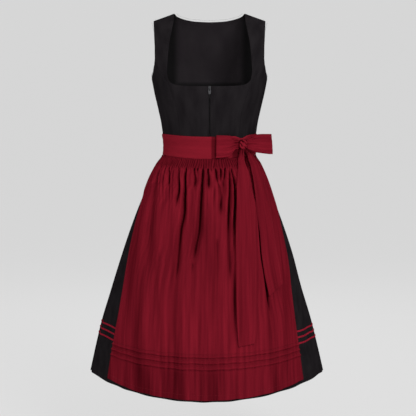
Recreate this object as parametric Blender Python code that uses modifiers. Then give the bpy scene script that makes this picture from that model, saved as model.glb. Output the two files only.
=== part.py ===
"""Dirndl dress: sleeveless bodice with a square neckline and a front zip, gathered
midi skirt with three hem ribbons, and a gathered apron tied with a bow at the side.

Metres, +Z up. The front looks along -Y, and +X is the viewer's right. The origin lies
midway between the shoulders, at the height of the neck points.
"""
import math

import bmesh
import bpy
from mathutils import Vector
from mathutils.geometry import delaunay_2d_cdt, intersect_point_line

# Driving dimensions
NECK_HALF = 0.0917        # neck point to the centre
TIP_HALF = 0.145          # outer end of the shoulder seam to the centre
TIP_FALL = 0.0190         # outer end of the shoulder seam below the neck point
BUST_FULL = 0.0070        # extra fullness of each front, at this angle and row
BUST_ANGLE = 0.62
BUST_ROW = -0.212
WAIST = -0.354            # seam between bodice and skirt, under the sash
HEM = -0.9365             # skirt hem at the side seams
SEAM = 0.0003             # gap left between two pieces
BODICE_WALL = 0.0015
SKIRT_WALL = 0.0014
SATIN_WALL = 0.0012
RIBBON_WALL = 0.0008
RIBBON_GAP = 0.0005       # room for the ribbons over the skirt's facets
SASH_TOP = -0.3110        # waistband at the side seams
SASH_FOOT = -0.3655
APRON_HEM = -0.9240       # apron hem at its corners
APRON_DROP = 0.0060       # and how much lower it hangs at the middle
RIBBON_WIDTH = 0.0042
RIBBON_ROWS = (("top", -0.8033), ("middle", -0.8180), ("bottom", -0.8327))
RIBBON_FALL = 0.0095      # the ribbons run this much lower at the viewer's right
PINTUCK_ROWS = (-0.8400, -0.8530, -0.8660)
TUCK_REACH = 0.0065       # half the spacing of the tucks
FOLDS = 24                # deep skirt folds all round, two gathers in each
APRON_GATHERS = 27
ZIP_GAP = 0.0030          # width of the slit between the front edges
PANEL_STEP = 0.0150       # spacing of the points inside a bodice panel

# Horizontal sections of the dress, from the shoulders to the hem: the row, half the
# width, depth in front and behind, centre x, how far the row dips in front and behind,
# and the powers of x and y in the section's outline (2 and 2 make an ellipse)
SECTIONS = (
    (0.000, 0.1860, 0.0004, 0.0004, 0.0000, 0.0000, 0.000, 2.25, 2.25),
    (-0.018, 0.1840, 0.0310, 0.0400, 0.0000, 0.0000, 0.000, 2.25, 2.25),
    (-0.050, 0.1800, 0.0560, 0.0620, 0.0000, 0.0000, 0.000, 2.25, 2.25),
    (-0.100, 0.1720, 0.0820, 0.0840, 0.0000, 0.0000, 0.000, 2.25, 2.25),
    (-0.140, 0.1600, 0.1010, 0.0970, 0.0000, 0.0000, 0.000, 2.25, 2.25),
    (-0.165, 0.1515, 0.1130, 0.1010, 0.0000, 0.0000, 0.000, 2.25, 2.25),
    (-0.205, 0.1435, 0.1250, 0.1040, 0.0000, 0.0000, 0.000, 2.25, 2.25),
    (-0.244, 0.1345, 0.1190, 0.1010, 0.0000, 0.0020, 0.000, 2.20, 2.20),
    (-0.291, 0.1245, 0.1070, 0.0950, 0.0000, 0.0060, 0.000, 2.15, 2.15),
    (-0.330, 0.1203, 0.1005, 0.0922, 0.0000, 0.0090, 0.000, 2.10, 2.10),
    (-0.354, 0.1192, 0.0990, 0.0908, 0.0000, 0.0095, 0.000, 2.10, 2.10),
    (-0.366, 0.1205, 0.1008, 0.0924, -0.0010, 0.0095, 0.000, 2.10, 2.10),
    (-0.385, 0.1308, 0.1130, 0.1100, -0.0020, 0.0090, 0.000, 2.10, 2.10),
    (-0.433, 0.1525, 0.1400, 0.1480, -0.0040, 0.0080, 0.000, 2.05, 2.00),
    (-0.511, 0.1855, 0.1690, 0.1800, -0.0050, 0.0065, 0.002, 2.00, 1.88),
    (-0.616, 0.2225, 0.1990, 0.2110, -0.0055, 0.0060, 0.004, 2.00, 1.70),
    (-0.721, 0.2530, 0.2240, 0.2370, -0.0078, 0.0065, 0.006, 2.00, 1.54),
    (-0.800, 0.2770, 0.2400, 0.2540, -0.0078, 0.0080, 0.008, 2.00, 1.44),
    (-0.860, 0.2920, 0.2520, 0.2640, -0.0076, 0.0125, 0.009, 2.00, 1.36),
    (HEM, 0.3095, 0.2650, 0.2750, -0.0072, 0.0245, 0.012, 2.00, 1.28),
)

# Bodice outlines at the viewer's right: x and height of each point
NECKLINE = (
    (ZIP_GAP / 2, -0.1925), (0.0300, -0.1923), (0.0585, -0.1913), (0.0800, -0.1890),
    (0.0940, -0.1835), (0.1030, -0.1730), (0.1070, -0.1580), (0.1072, -0.1380),
    (0.1055, -0.1080), (0.1025, -0.0780), (0.0965, -0.0448), (0.0925, -0.0200),
    (NECK_HALF, 0.0),
)
BACK_NECKLINE = (
    (NECK_HALF, 0.0), (0.0860, -0.0045), (0.0740, -0.0095), (0.0560, -0.0140),
    (0.0330, -0.0170), (0.0, -0.0182),
)
FRONT_ARMHOLE = (
    (TIP_HALF, -TIP_FALL), (0.1432, -0.0500), (0.1410, -0.0850), (0.1402, -0.1150),
    (0.1415, -0.1350),
)
SIDE_ARMHOLE = ((0.1415, -0.1350), (0.1452, -0.1530), (0.1490, -0.1640))
BACK_ARMHOLE = (
    (0.1497, -0.1640), (0.1440, -0.1480), (0.1365, -0.1200), (0.1350, -0.0900),
    (0.1385, -0.0550), (TIP_HALF, -TIP_FALL),
)
PRINCESS_SEAM = (
    (0.1415, -0.1350), (0.1280, -0.1500), (0.1120, -0.1700), (0.0985, -0.1920),
    (0.0895, -0.2180), (0.0815, -0.2500), (0.0765, -0.3000), (0.0740, WAIST),
)
ARMHOLE_FOOT = -0.1690    # lowest point of the armhole, at the side seam

# How far round the apron reaches: row, angle of its left and of its right edge
APRON_EDGES = (
    (-0.366, 97.0, 97.0), (-0.400, 92.5, 93.0), (-0.435, 83.0, 85.0),
    (-0.470, 74.0, 77.0), (-0.510, 68.5, 72.0), (-0.547, 66.0, 67.6),
    (-0.594, 63.0, 64.4), (-0.632, 60.8, 62.4), (-0.708, 56.9, 58.0),
    (-0.803, 54.4, 53.4), (APRON_HEM, 53.9, 51.6),
)
# Depth of the skirt's folds and of its gathers: row, folds, gathers
SKIRT_FOLDS = (
    (-0.354, 0.0, 0.0016), (-0.370, 0.0006, 0.0024), (-0.410, 0.0030, 0.0034),
    (-0.480, 0.0060, 0.0030), (-0.560, 0.0085, 0.0018), (-0.700, 0.0090, 0.0006),
    (HEM, 0.0080, 0.0),
)
# Apron: row, rise of the wall off the skirt, depth of the gathers, depth of the folds
APRON_FOLDS = (
    (-0.3658, 0.0008, 0.0006, 0.0), (-0.3760, 0.0030, 0.0014, 0.0),
    (-0.3900, 0.0060, 0.0034, 0.0006), (-0.4300, 0.0080, 0.0034, 0.0022),
    (-0.5200, 0.0085, 0.0020, 0.0046), (-0.6600, 0.0085, 0.0008, 0.0056),
    (-0.8000, 0.0090, 0.0002, 0.0054), (APRON_HEM, 0.0095, 0.0, 0.0060),
)
APRON_CLEAR = 0.0022      # the apron's wall stays this far off the skirt, over its ribbons
EDGE_SETTLE = 0.70        # share of its lift that the apron loses at its side edges
# Long soft folds of the apron: place across at the top and at the hem, width, share of depth
APRON_CREASES = (
    (-0.90, -0.93, 0.050, 0.6), (-0.62, -0.74, 0.060, 0.9), (-0.40, -0.50, 0.050, 0.7),
    (-0.21, -0.31, 0.055, 1.0), (-0.06, -0.10, 0.050, 0.9), (0.07, 0.10, 0.045, 0.6),
    (0.22, 0.24, 0.050, 1.0), (0.42, 0.48, 0.060, 0.8), (0.66, 0.74, 0.055, 0.8),
    (0.88, 0.92, 0.050, 0.6),
)

# Tie ends, in front view: height and x of the left edge, height and x of the right edge
TIE_LONG = (
    (-0.3508, 0.0714, -0.3508, 0.0805), (-0.3640, 0.0690, -0.3640, 0.0810),
    (-0.3880, 0.0654, -0.3880, 0.0822), (-0.4070, 0.0632, -0.4070, 0.0880),
    (-0.4280, 0.0619, -0.4280, 0.0932), (-0.4520, 0.0612, -0.4520, 0.0966),
    (-0.5000, 0.0602, -0.5000, 0.1038), (-0.5740, 0.0590, -0.5740, 0.1078),
    (-0.6600, 0.0594, -0.6600, 0.1068), (-0.7500, 0.0608, -0.7500, 0.1066),
    (-0.7950, 0.0628, -0.7930, 0.1056), (-0.8270, 0.0652, -0.8220, 0.1010),
)
TIE_SHORT = (
    (-0.3508, 0.0819, -0.3508, 0.0874), (-0.3660, 0.0890, -0.3660, 0.1020),
    (-0.3880, 0.0927, -0.3880, 0.1110), (-0.4080, 0.0958, -0.4080, 0.1186),
    (-0.4280, 0.0996, -0.4280, 0.1248), (-0.4540, 0.1031, -0.4540, 0.1311),
    (-0.5000, 0.1066, -0.5000, 0.1415), (-0.5627, 0.1150, -0.5657, 0.1513),
    (-0.6100, 0.1188, -0.6100, 0.1573), (-0.6600, 0.1256, -0.6500, 0.1652),
    (-0.7120, 0.1366, -0.6849, 0.1709),
)
TIE_COLUMNS = 6
TIE_FALL = 0.0070         # a tie end leaves the knot this far off the sash
TIE_LANDING = -0.450      # and lies on the apron from here down

# Bow
KNOT_X = 0.0794
KNOT_Z = -0.3377
KNOT_WIDTH = 0.0206
KNOT_HEIGHT = 0.0256
KNOT_DEPTH = 0.0130
LOOP_PLEATS = 3
LOOP_START = 0.0106       # the loops leave the knot this far from its middle
LEFT_REACH = 0.0640       # and their tips lie this far round the sash
RIGHT_REACH = 0.0728
# How far a loop stands off the sash: at the knot, what it gains by the tip, and the power
LEFT_STAND = (0.0033, -0.0010, 1.0)
RIGHT_STAND = (0.0036, 0.0330, 1.7)

# Zip, with its slider and pull tab
ZIP_TOP = -0.1935
ZIP_FOOT = -0.3520
TAPE_HALF = 0.0110
TAPE_WALL = 0.0008
TAPE_GAP = 0.0012
TAPE_LEAN = 0.06          # the tape falls away behind the fronts towards its edges
ZIP_ROWS = 12
COIL_HALF = 0.0012
SLIDER_Z = -0.1968
SLIDER_SIZE = (0.0060, 0.0026, 0.0085)
BRIDGE_RADIUS = 0.0006
BRIDGE_REACH = 0.0036     # how far the bridge stands off the slider
BRIDGE_HALF = 0.0035      # half its height
BRIDGE_ROOT = 0.0006      # its ends are sunk this far into the slider
HINGE_BELOW = 0.0014      # pull tab's pivot below the middle of the slider
HINGE_OUT = 0.0013        # and in front of its face
PULL_WIDTH = 0.0066
PULL_LENGTH = 0.0155
PULL_WALL = 0.0010
PULL_HEAD = 0.0007        # the tab's top above its pivot
WINDOW_HALF = 0.0014      # window in the tab's head, that the bridge passes through
WINDOW_TOP = -0.0007
WINDOW_FOOT = -0.0052

MATERIALS = {
    "black_cloth": ((0.018, 0.017, 0.019, 1.0), 0.85, 0.0),
    "red_satin": ((0.190, 0.010, 0.022, 1.0), 0.45, 0.0),
    "red_ribbon": ((0.420, 0.022, 0.040, 1.0), 0.45, 0.0),
    "zip_tape": ((0.012, 0.012, 0.013, 1.0), 0.80, 0.0),
    "zip_metal": ((0.120, 0.120, 0.125, 1.0), 0.35, 1.0),
}


def start_scene():
    """Empty the scene and make the collection that holds the dress."""
    for old in list(bpy.data.objects):
        bpy.data.objects.remove(old, do_unlink=True)
    for name in ("dirndl_dress", "cutters"):
        group = bpy.data.collections.new(name)
        bpy.context.scene.collection.children.link(group)


def material(name):
    """Principled material of one of the dress's finishes."""
    if name in bpy.data.materials:
        return bpy.data.materials[name]
    colour, roughness, metallic = MATERIALS[name]
    made = bpy.data.materials.new(name)
    made.use_nodes = True
    shader = made.node_tree.nodes["Principled BSDF"]
    shader.inputs["Base Color"].default_value = colour
    shader.inputs["Roughness"].default_value = roughness
    shader.inputs["Metallic"].default_value = metallic
    made.diffuse_color = colour
    return made


def smooth_table(rows):
    """Reader of a table: a curve through its rows that never overshoots them."""
    rows = sorted(rows)
    keys = [row[0] for row in rows]
    steps = [b - a for a, b in zip(keys, keys[1:])]
    columns = list(zip(*rows))[1:]
    slopes = []
    for column in columns:
        rates = [(b - a) / step for a, b, step in zip(column, column[1:], steps)]
        inner = [2 * a * b / (a + b) if a * b > 0 else 0.0 for a, b in zip(rates, rates[1:])]
        slopes.append([rates[0]] + inner + [rates[-1]])

    def read(key):
        key = min(max(key, keys[0]), keys[-1])
        i = max(k for k in range(len(steps)) if keys[k] <= key)
        t = (key - keys[i]) / steps[i]
        values = []
        for column, slope in zip(columns, slopes):
            a, b = column[i], column[i + 1]
            rise = a * (1 + 2 * t) * (1 - t) ** 2 + b * t * t * (3 - 2 * t)
            lean = slope[i] * t * (1 - t) ** 2 - slope[i + 1] * t * t * (1 - t)
            values.append(rise + steps[i] * lean)
        return values

    return read


def bell(distance, width):
    """Soft bump of height one."""
    return math.exp(-(distance / width) ** 2)


def blend(low, high, value):
    """Smooth step from zero at low to one at high."""
    t = min(max((value - low) / (high - low), 0.0), 1.0)
    return t * t * (3 - 2 * t)


def signed_power(value, power):
    return math.copysign(abs(value) ** power, value)


# The table is read at the root of the depth below the shoulders, so that the straps
# turn over the shoulders in a round ridge
sections_by_root = smooth_table([(-math.sqrt(-row[0]),) + row[1:] for row in SECTIONS])


def section(row):
    return sections_by_root(-math.sqrt(max(-row, 0.0)))


def angle_at(x, row):
    """Angle round the front half at which the section reaches x."""
    half, _, _, centre, _, _, power, _ = section(row)
    share = min(max((x - centre) / half, -1.0), 1.0)
    return math.asin(signed_power(share, power / 2))


def body(angle, row, out=0.0):
    """Point of the dress at an angle from the centre front, moved out level."""
    half, front, back, centre, front_dip, back_dip, wide, deep = section(row)
    ahead = math.cos(angle)
    depth, dip = (front, front_dip) if ahead > 0 else (back, back_dip)
    x = signed_power(math.sin(angle), 2 / wide)
    y = -signed_power(ahead, 2 / deep)
    normal = Vector((wide * signed_power(x, wide - 1) / half,
                     deep * signed_power(y, deep - 1) / depth, 0))
    point = Vector((centre + half * x, depth * y, row - dip * ahead * ahead))
    return point + normal.normalized() * out


def shoulder_fall(x):
    share = (abs(x) - NECK_HALF) / (TIP_HALF - NECK_HALF)
    return TIP_FALL * min(max(share, 0.0), 1.1)


def bodice(angle, row):
    """Point of the bodice's outside, with the sloping shoulder and the bust's fullness."""
    half, _, _, _, front_dip, back_dip, power, _ = section(row)
    x = half * signed_power(math.sin(angle), 2 / power)
    lift = shoulder_fall(x) * blend(-0.150, -0.030, row)
    _, front, back, _, _, _, _, _ = section(min(row + lift, 0.0))
    ahead = math.cos(angle)
    depth, dip = (front, front_dip) if ahead > 0 else (back, back_dip)
    fullness = BUST_FULL * bell(abs(angle) - BUST_ANGLE, 0.40) * bell(row - BUST_ROW, 0.042)
    point = Vector((x, -depth * signed_power(ahead, 2 / power), row - dip * ahead * ahead))
    out = Vector((math.sin(angle), -ahead, 0.0))
    return point + out * fullness


def bodice_normal(angle, row):
    """Outward direction, read just below the point so that it holds on the shoulders."""
    step = 0.0008
    across = bodice(angle + step, row) - bodice(angle - step, row)
    along = bodice(angle, row) - bodice(angle, row - step)
    return across.cross(along).normalized()


def add_object(name, mesh, finish):
    """Named object in the dress's collection, with its material and soft shading."""
    mesh.materials.append(material(finish))
    mesh.shade_smooth()
    mesh.set_sharp_from_angle(angle=math.radians(50))
    made = bpy.data.objects.new(name, mesh)
    bpy.data.collections["dirndl_dress"].objects.link(made)
    return made


def wall(name, outer, inner, faces, finish):
    """Closed wall between matching outer and inner points. Its rim is square to the
    cloth, so two panels meet face to face along a seam."""
    count = len(outer)
    sides = {}
    for face in faces:
        for a, b in zip(face, face[1:] + face[:1]):
            sides[(a, b)] = True
    rim = [(b, a, a + count, b + count) for a, b in sides if (b, a) not in sides]
    back = [tuple(v + count for v in reversed(face)) for face in faces]
    mesh = bpy.data.meshes.new(name)
    mesh.from_pydata(outer + inner, [], [tuple(face) for face in faces] + back + rim)
    return add_object(name, mesh, finish)


def grid_faces(rows, columns):
    """Quads of a grid whose columns run to the right and whose rows run down, seen
    from outside."""
    faces = []
    for i in range(rows - 1):
        for j in range(columns - 1):
            top, low = i * columns + j, (i + 1) * columns + j
            faces.append([top, low, low + 1, top + 1])
    return faces


def grid_wall(name, place, angles, rows, finish, thickness):
    """Wall over a grid of angles and rows; place gives a point moved out by a depth."""
    outer = [place(a, r, 0.0) for r in rows for a in angles]
    inner = [place(a, r, -thickness) for r in rows for a in angles]
    return wall(name, outer, inner, grid_faces(len(rows), len(angles)), finish)


# Bodice

MAP_RADIUS = 0.130        # the flat map's width for each radian
MAP_DEPTH = 0.57          # and its height at one metre below the shoulders
SIDE_SEAM = SEAM / 2 / 0.120


def spread(key):
    """Place of an angle and row on the flat map where panels are meshed."""
    angle, row = key
    return Vector((MAP_RADIUS * angle, -MAP_DEPTH * math.sqrt(max(-row, 0.0))))


def unspread(spot):
    return spot[0] / MAP_RADIUS, -(spot[1] / MAP_DEPTH) ** 2


def resample(keys):
    """Even points along an edge on the flat map, with its ends kept."""
    spots = [spread(key) for key in keys]
    lengths = [0.0]
    for a, b in zip(spots, spots[1:]):
        lengths.append(lengths[-1] + (b - a).length)
    read = smooth_table([(s, p[0], p[1]) for s, p in zip(lengths, spots)])
    count = max(round(lengths[-1] / PANEL_STEP), 1)
    return [unspread(read(lengths[-1] * i / count)) for i in range(count + 1)]


def bodice_edge(points, back=False):
    """Bodice edge given by x and height, as angles and rows."""
    angles = [angle_at(x, row) for x, row in points]
    rows = [row for _, row in points]
    return resample([(math.pi - a if back else a, row) for a, row in zip(angles, rows)])


def shoulder_edge(back=False):
    """Shoulder seam from the neck point to the outer end, sloping evenly."""
    edge = []
    for i in range(6):
        x = NECK_HALF + (TIP_HALF - NECK_HALF) * i / 5
        angle = angle_at(x, -shoulder_fall(x))
        edge.append((math.pi - angle if back else angle, -shoulder_fall(x)))
    return edge


def inside(spot, outline):
    odd = False
    for a, b in zip(outline, outline[1:] + outline[:1]):
        if (a[1] > spot[1]) != (b[1] > spot[1]):
            if spot[0] < a[0] + (spot[1] - a[1]) / (b[1] - a[1]) * (b[0] - a[0]):
                odd = not odd
    return odd


def edge_distance(spot, outline):
    nearest = 1.0
    for a, b in zip(outline, outline[1:] + outline[:1]):
        foot, share = intersect_point_line(spot, a, b)
        foot = a if share < 0 else b if share > 1 else foot.xy
        nearest = min(nearest, (spot - foot.xy).length)
    return nearest


def bodice_panel(name, edges, step):
    """Panel of the bodice inside a closed run of edges, each a list of angle and row."""
    keys = []
    for edge in edges:
        keys += edge[:-1]
    outline = [spread(key) for key in keys]
    low = [min(p[i] for p in outline) for i in range(2)]
    high = [max(p[i] for p in outline) for i in range(2)]
    spots = list(outline)
    for i in range(int((high[1] - low[1]) / step) + 1):
        for j in range(int((high[0] - low[0]) / step) + 2):
            spot = Vector((low[0] + (j + 0.5 * (i % 2)) * step, low[1] + i * step))
            if inside(spot, outline) and edge_distance(spot, outline) > 0.6 * step:
                spots.append(spot)
    found = delaunay_2d_cdt(spots, [], [list(range(len(outline)))], 1, 1e-7)
    points, faces = found[0], [list(face) for face in found[2]]
    outer, inner = [], []
    for spot in points:
        key = unspread(spot)
        point = bodice(*key)
        outer.append(point)
        inner.append(point - bodice_normal(*key) * BODICE_WALL)
    return wall(name, outer, inner, faces, "black_cloth")


def moved_round(keys, gap):
    """Edge moved round the body by a gap."""
    return [(angle + gap / MAP_RADIUS, row) for angle, row in keys]


def reversed_edges(edges):
    """The same closed run of edges, walked the other way."""
    return [list(reversed(edge)) for edge in reversed(edges)]


def mirrored(edges):
    """The same panel on the other side of the centre plane."""
    return reversed_edges([[(-angle, row) for angle, row in edge] for edge in edges])


def build_bodice():
    """Two fronts with their straps, two side fronts and the back."""
    far = math.pi / 2 - SIDE_SEAM
    centre = angle_at(ZIP_GAP / 2, WAIST)
    neckline = bodice_edge(NECKLINE)
    seam = bodice_edge(PRINCESS_SEAM)
    inner_seam, outer_seam = moved_round(seam, -SEAM / 2), moved_round(seam, SEAM / 2)
    armhole = bodice_edge(FRONT_ARMHOLE)[:-1] + [inner_seam[0]]
    front = [neckline, shoulder_edge(), armhole, inner_seam,
             resample([(inner_seam[-1][0], WAIST), (centre, WAIST)]),
             resample([(centre, WAIST), neckline[0]])]
    under = [outer_seam[0]] + bodice_edge(SIDE_ARMHOLE)[1:] + [(far, ARMHOLE_FOOT)]
    side_front = [under, resample([(far, ARMHOLE_FOOT), (far, WAIST)]),
                  resample([(far, WAIST), (outer_seam[-1][0], WAIST)]),
                  list(reversed(outer_seam))]
    for name, edges in (("front", front), ("side", side_front)):
        bodice_panel(f"bodice_{name}_right", reversed_edges(edges), PANEL_STEP)
        bodice_panel(f"bodice_{name}_left", reversed_edges(mirrored(edges)), PANEL_STEP)
    build_back()


def build_back():
    """Back panel, from one side seam to the other."""
    near = math.pi / 2 + SIDE_SEAM
    neckline = bodice_edge(BACK_NECKLINE, back=True)
    armhole = [(near, ARMHOLE_FOOT)] + bodice_edge(BACK_ARMHOLE, back=True)
    shoulder = list(reversed(shoulder_edge(back=True)))
    right = [resample([(near, WAIST), (near, ARMHOLE_FOOT)]), armhole, shoulder, neckline]
    left = [[(math.tau - angle, row) for angle, row in reversed(edge)]
            for edge in reversed(right)]
    foot = resample([(math.tau - near, WAIST), (near, WAIST)])
    bodice_panel("bodice_back", reversed_edges(right + left + [foot]), 1.25 * PANEL_STEP)


# Skirt

skirt_folds = smooth_table(SKIRT_FOLDS)


def fold_phase(angle):
    """Count of folds passed, walking round from the centre front, unevenly spaced."""
    sway = 0.26 * math.sin(3 * angle + 0.6) + 0.10 * math.sin(8 * angle)
    return FOLDS * angle / math.tau + sway


def phase_angle(phase):
    angle = phase * math.tau / FOLDS
    for _ in range(30):
        angle -= (fold_phase(angle) - phase) * math.tau / FOLDS
    return angle


def skirt_point(angle, row, out):
    """Point of the skirt, whose folds and gathers all lie inside its section."""
    folds, gathers = skirt_folds(row)
    phase = math.tau * fold_phase(angle)
    uneven = 0.72 + 0.20 * math.sin(3 * angle + 1.0) + 0.08 * math.sin(7 * angle)
    inward = folds * uneven * (0.5 - 0.5 * math.cos(phase))
    inward += gathers * (0.5 - 0.5 * math.cos(2 * phase))
    return body(angle, row, out - inward)


SKIRT_ROWS = (WAIST - SEAM, SASH_FOOT, -0.376, -0.395, -0.430, -0.500, -0.600, -0.700,
              -0.798, -0.848, HEM)


def skirt_angles(start, end):
    """Columns of a skirt panel: its seams, and four for each fold between them, or two
    where the apron covers it."""
    first = math.ceil(4 * fold_phase(start) + 0.5)
    last = math.floor(4 * fold_phase(end) - 0.5)
    inner = [(k, phase_angle(k / 4)) for k in range(first, last + 1)]
    kept = [angle for k, angle in inner if k % 2 == 0 or math.cos(angle) < 0.6]
    return [start] + kept + [end]


def seamed(place, front):
    """Keeps a panel half a seam gap short of the side seams' plane."""
    def placed(angle, row, out):
        point = place(angle, row, out)
        if front:
            point.y = min(point.y, -SEAM / 2)
        else:
            point.y = max(point.y, SEAM / 2)
        return point
    return placed


def ribbon_point(angle, row, out):
    """Point on the skirt's facets between the two rows that hold the ribbons, which
    run a little lower towards the viewer's right."""
    high, low = SKIRT_ROWS[-3], SKIRT_ROWS[-2]
    fall = RIBBON_FALL * (0.5 + 0.5 * math.sin(angle))
    share = (high - row + fall) / (high - low)
    return skirt_point(angle, high, out).lerp(skirt_point(angle, low, out), share)


def build_skirt():
    """Front and back panels, and the three ribbons sewn round above the hem."""
    for word, start, end in (("front", -0.5, 0.5), ("back", 0.5, 1.5)):
        angles = skirt_angles(start * math.pi, end * math.pi)
        front = word == "front"
        grid_wall(f"skirt_{word}", seamed(skirt_point, front), angles, SKIRT_ROWS,
                  "black_cloth", SKIRT_WALL)

        def on_skirt(angle, row, out):
            return ribbon_point(angle, row, out + RIBBON_GAP + RIBBON_WALL)

        for place, row in RIBBON_ROWS:
            rows = (row + RIBBON_WIDTH / 2, row - RIBBON_WIDTH / 2)
            grid_wall(f"hem_ribbon_{place}_{word}", seamed(on_skirt, front), angles, rows,
                      "red_ribbon", RIBBON_WALL)


# Apron

apron_edges = smooth_table(APRON_EDGES)
apron_folds = smooth_table(APRON_FOLDS)


def apron_angle(across, row):
    left, right = apron_edges(row)
    return math.radians(right if across > 0 else left) * across


def apron_lift(across, row):
    """How far the apron's outside stands off the skirt's section."""
    rise, gathers, folds = apron_folds(row)
    sway = 0.30 * math.sin(5 * across + 0.4) + 0.16 * math.sin(13 * across)
    phase = math.tau * (APRON_GATHERS * (across + 1) / 2 + sway)
    down = (APRON_FOLDS[0][0] - row) / (APRON_FOLDS[0][0] - APRON_HEM)
    trough = 0.0
    for top, foot, width, share in APRON_CREASES:
        trough += share * bell(across - (top + (foot - top) * down), width)
    settled = 1 - EDGE_SETTLE * blend(0.80, 1.0, abs(across))
    lift = rise + gathers * (0.5 + 0.5 * math.cos(phase)) + folds * (1 - min(trough, 1.0))
    lift = APRON_CLEAR + (lift - APRON_CLEAR) * settled if lift > APRON_CLEAR else lift
    tucks = sum(0.0022 * bell(row - tuck, 0.0030) for tuck in PINTUCK_ROWS)
    return lift + tucks + SEAM + SATIN_WALL


def apron_point(across, row, out):
    """Point of the apron, whose hem hangs lower at the middle than at its corners."""
    drop = APRON_DROP * blend(PINTUCK_ROWS[-1] - TUCK_REACH, APRON_HEM, row)
    low = row - drop * (1 - across * across)
    return body(apron_angle(across, row), low, apron_lift(across, row) + out)


def build_apron():
    """Apron panel, whose three tucks are raised across it above the hem."""
    rows = [SASH_FOOT - SEAM, -0.376, -0.395, -0.430, -0.500, -0.610, -0.740]
    rows.append(PINTUCK_ROWS[0] + TUCK_REACH)
    for tuck in PINTUCK_ROWS:
        rows += [tuck, tuck - TUCK_REACH]
    rows.append(APRON_HEM)
    count = 2 * APRON_GATHERS
    across = [2 * j / count - 1 for j in range(count + 1)]
    grid_wall("apron_panel", apron_point, across, rows, "red_satin", SATIN_WALL)


# Sash and bow

BAND_ANGLE = 96.0         # the waistband reaches this far round, in degrees
SASH_GAP = 0.0008         # between the bodice's facets and the sash
SASH_OUT = SASH_GAP + SATIN_WALL


def build_sash():
    """Waistband in front and the sash that runs on round the back."""
    edge = math.radians(BAND_ANGLE)
    gap = SEAM / 0.100
    for name, start, end, count in (("apron_band", -edge, edge, 32),
                                    ("apron_tie_back", edge + gap, math.tau - edge - gap, 26)):
        angles = [start + (end - start) * j / count for j in range(count + 1)]
        rows = [SASH_TOP + (SASH_FOOT - SASH_TOP) * i / 3 for i in range(4)]
        grid_wall(name, lambda a, r, out: body(a, r, out + SASH_OUT), angles, rows,
                  "red_satin", SATIN_WALL)


def front_row(x, z):
    """Row of the front at a given x and true height, where the front dips."""
    row = z
    for _ in range(4):
        dip = section(row)[4]
        row = z + dip * math.cos(angle_at(x, row)) ** 2
    return row


def over_apron(x, z, out):
    """Point outside the apron's highest folds, or outside the sash, at x and height."""
    row = front_row(x, z)
    rise, gathers, folds = apron_folds(row)
    tall = (rise + 0.6 * gathers + folds) * blend(SASH_FOOT + 0.004, SASH_FOOT - 0.020, row)
    return body(angle_at(x, row), row, SASH_OUT + tall + SEAM + out)


def tie_end(name, table, lift):
    """One hanging end of the sash, gathered under the knot and lying on the apron."""
    outer, inner = [], []
    last = len(table) - 1
    left_z_top = table[0][0]
    for i, (left_z, left_x, right_z, right_x) in enumerate(table):
        for j in range(TIE_COLUMNS + 1):
            t = j / TIE_COLUMNS
            x, z = left_x + (right_x - left_x) * t, left_z + (right_z - left_z) * t
            fold = 0.0022 * math.sin(math.tau * 1.5 * t) ** 2 * (1 - 0.4 * i / last)
            fall = TIE_FALL * blend(TIE_LANDING, left_z_top, z)
            outer.append(over_apron(x, z, lift + SATIN_WALL + fold + fall))
            inner.append(over_apron(x, z, lift + fold + fall))
    wall(name, outer, inner, grid_faces(len(table), TIE_COLUMNS + 1), "red_satin")


def knot_frame():
    """Foot of the knot on the sash, with its outward, sideways and upward directions."""
    row = front_row(KNOT_X, KNOT_Z)
    angle = angle_at(KNOT_X, row)
    foot = body(angle, row, SASH_OUT)
    outward = (body(angle, row, 1.0) - body(angle, row)).normalized()
    return foot, outward, Vector((-outward.y, outward.x, 0.0))


def sash_path(distance):
    """Angle round the sash at a level distance from the knot."""
    row = front_row(KNOT_X, KNOT_Z)
    angle = angle_at(KNOT_X, row)
    steps = 24
    for _ in range(steps):
        pace = (body(angle + 0.001, row) - body(angle - 0.001, row)).length / 0.002
        angle += distance / steps / pace
    return angle


# Loops of the bow: share of the length, half height, gap between the layers, droop
LEFT_LOOP = (
    (0.00, 0.0100, 0.0022, 0.0), (0.20, 0.0118, 0.0042, 0.0), (0.33, 0.0180, 0.0064, 0.0008),
    (0.50, 0.0255, 0.0082, 0.0026), (1.00, 0.0274, 0.0080, 0.0028),
)
RIGHT_LOOP = (
    (0.00, 0.0100, 0.0022, 0.0), (0.12, 0.0150, 0.0044, 0.0002), (0.35, 0.0215, 0.0092, 0.0010),
    (0.65, 0.0245, 0.0120, 0.0028), (1.00, 0.0262, 0.0100, 0.0054),
)


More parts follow.
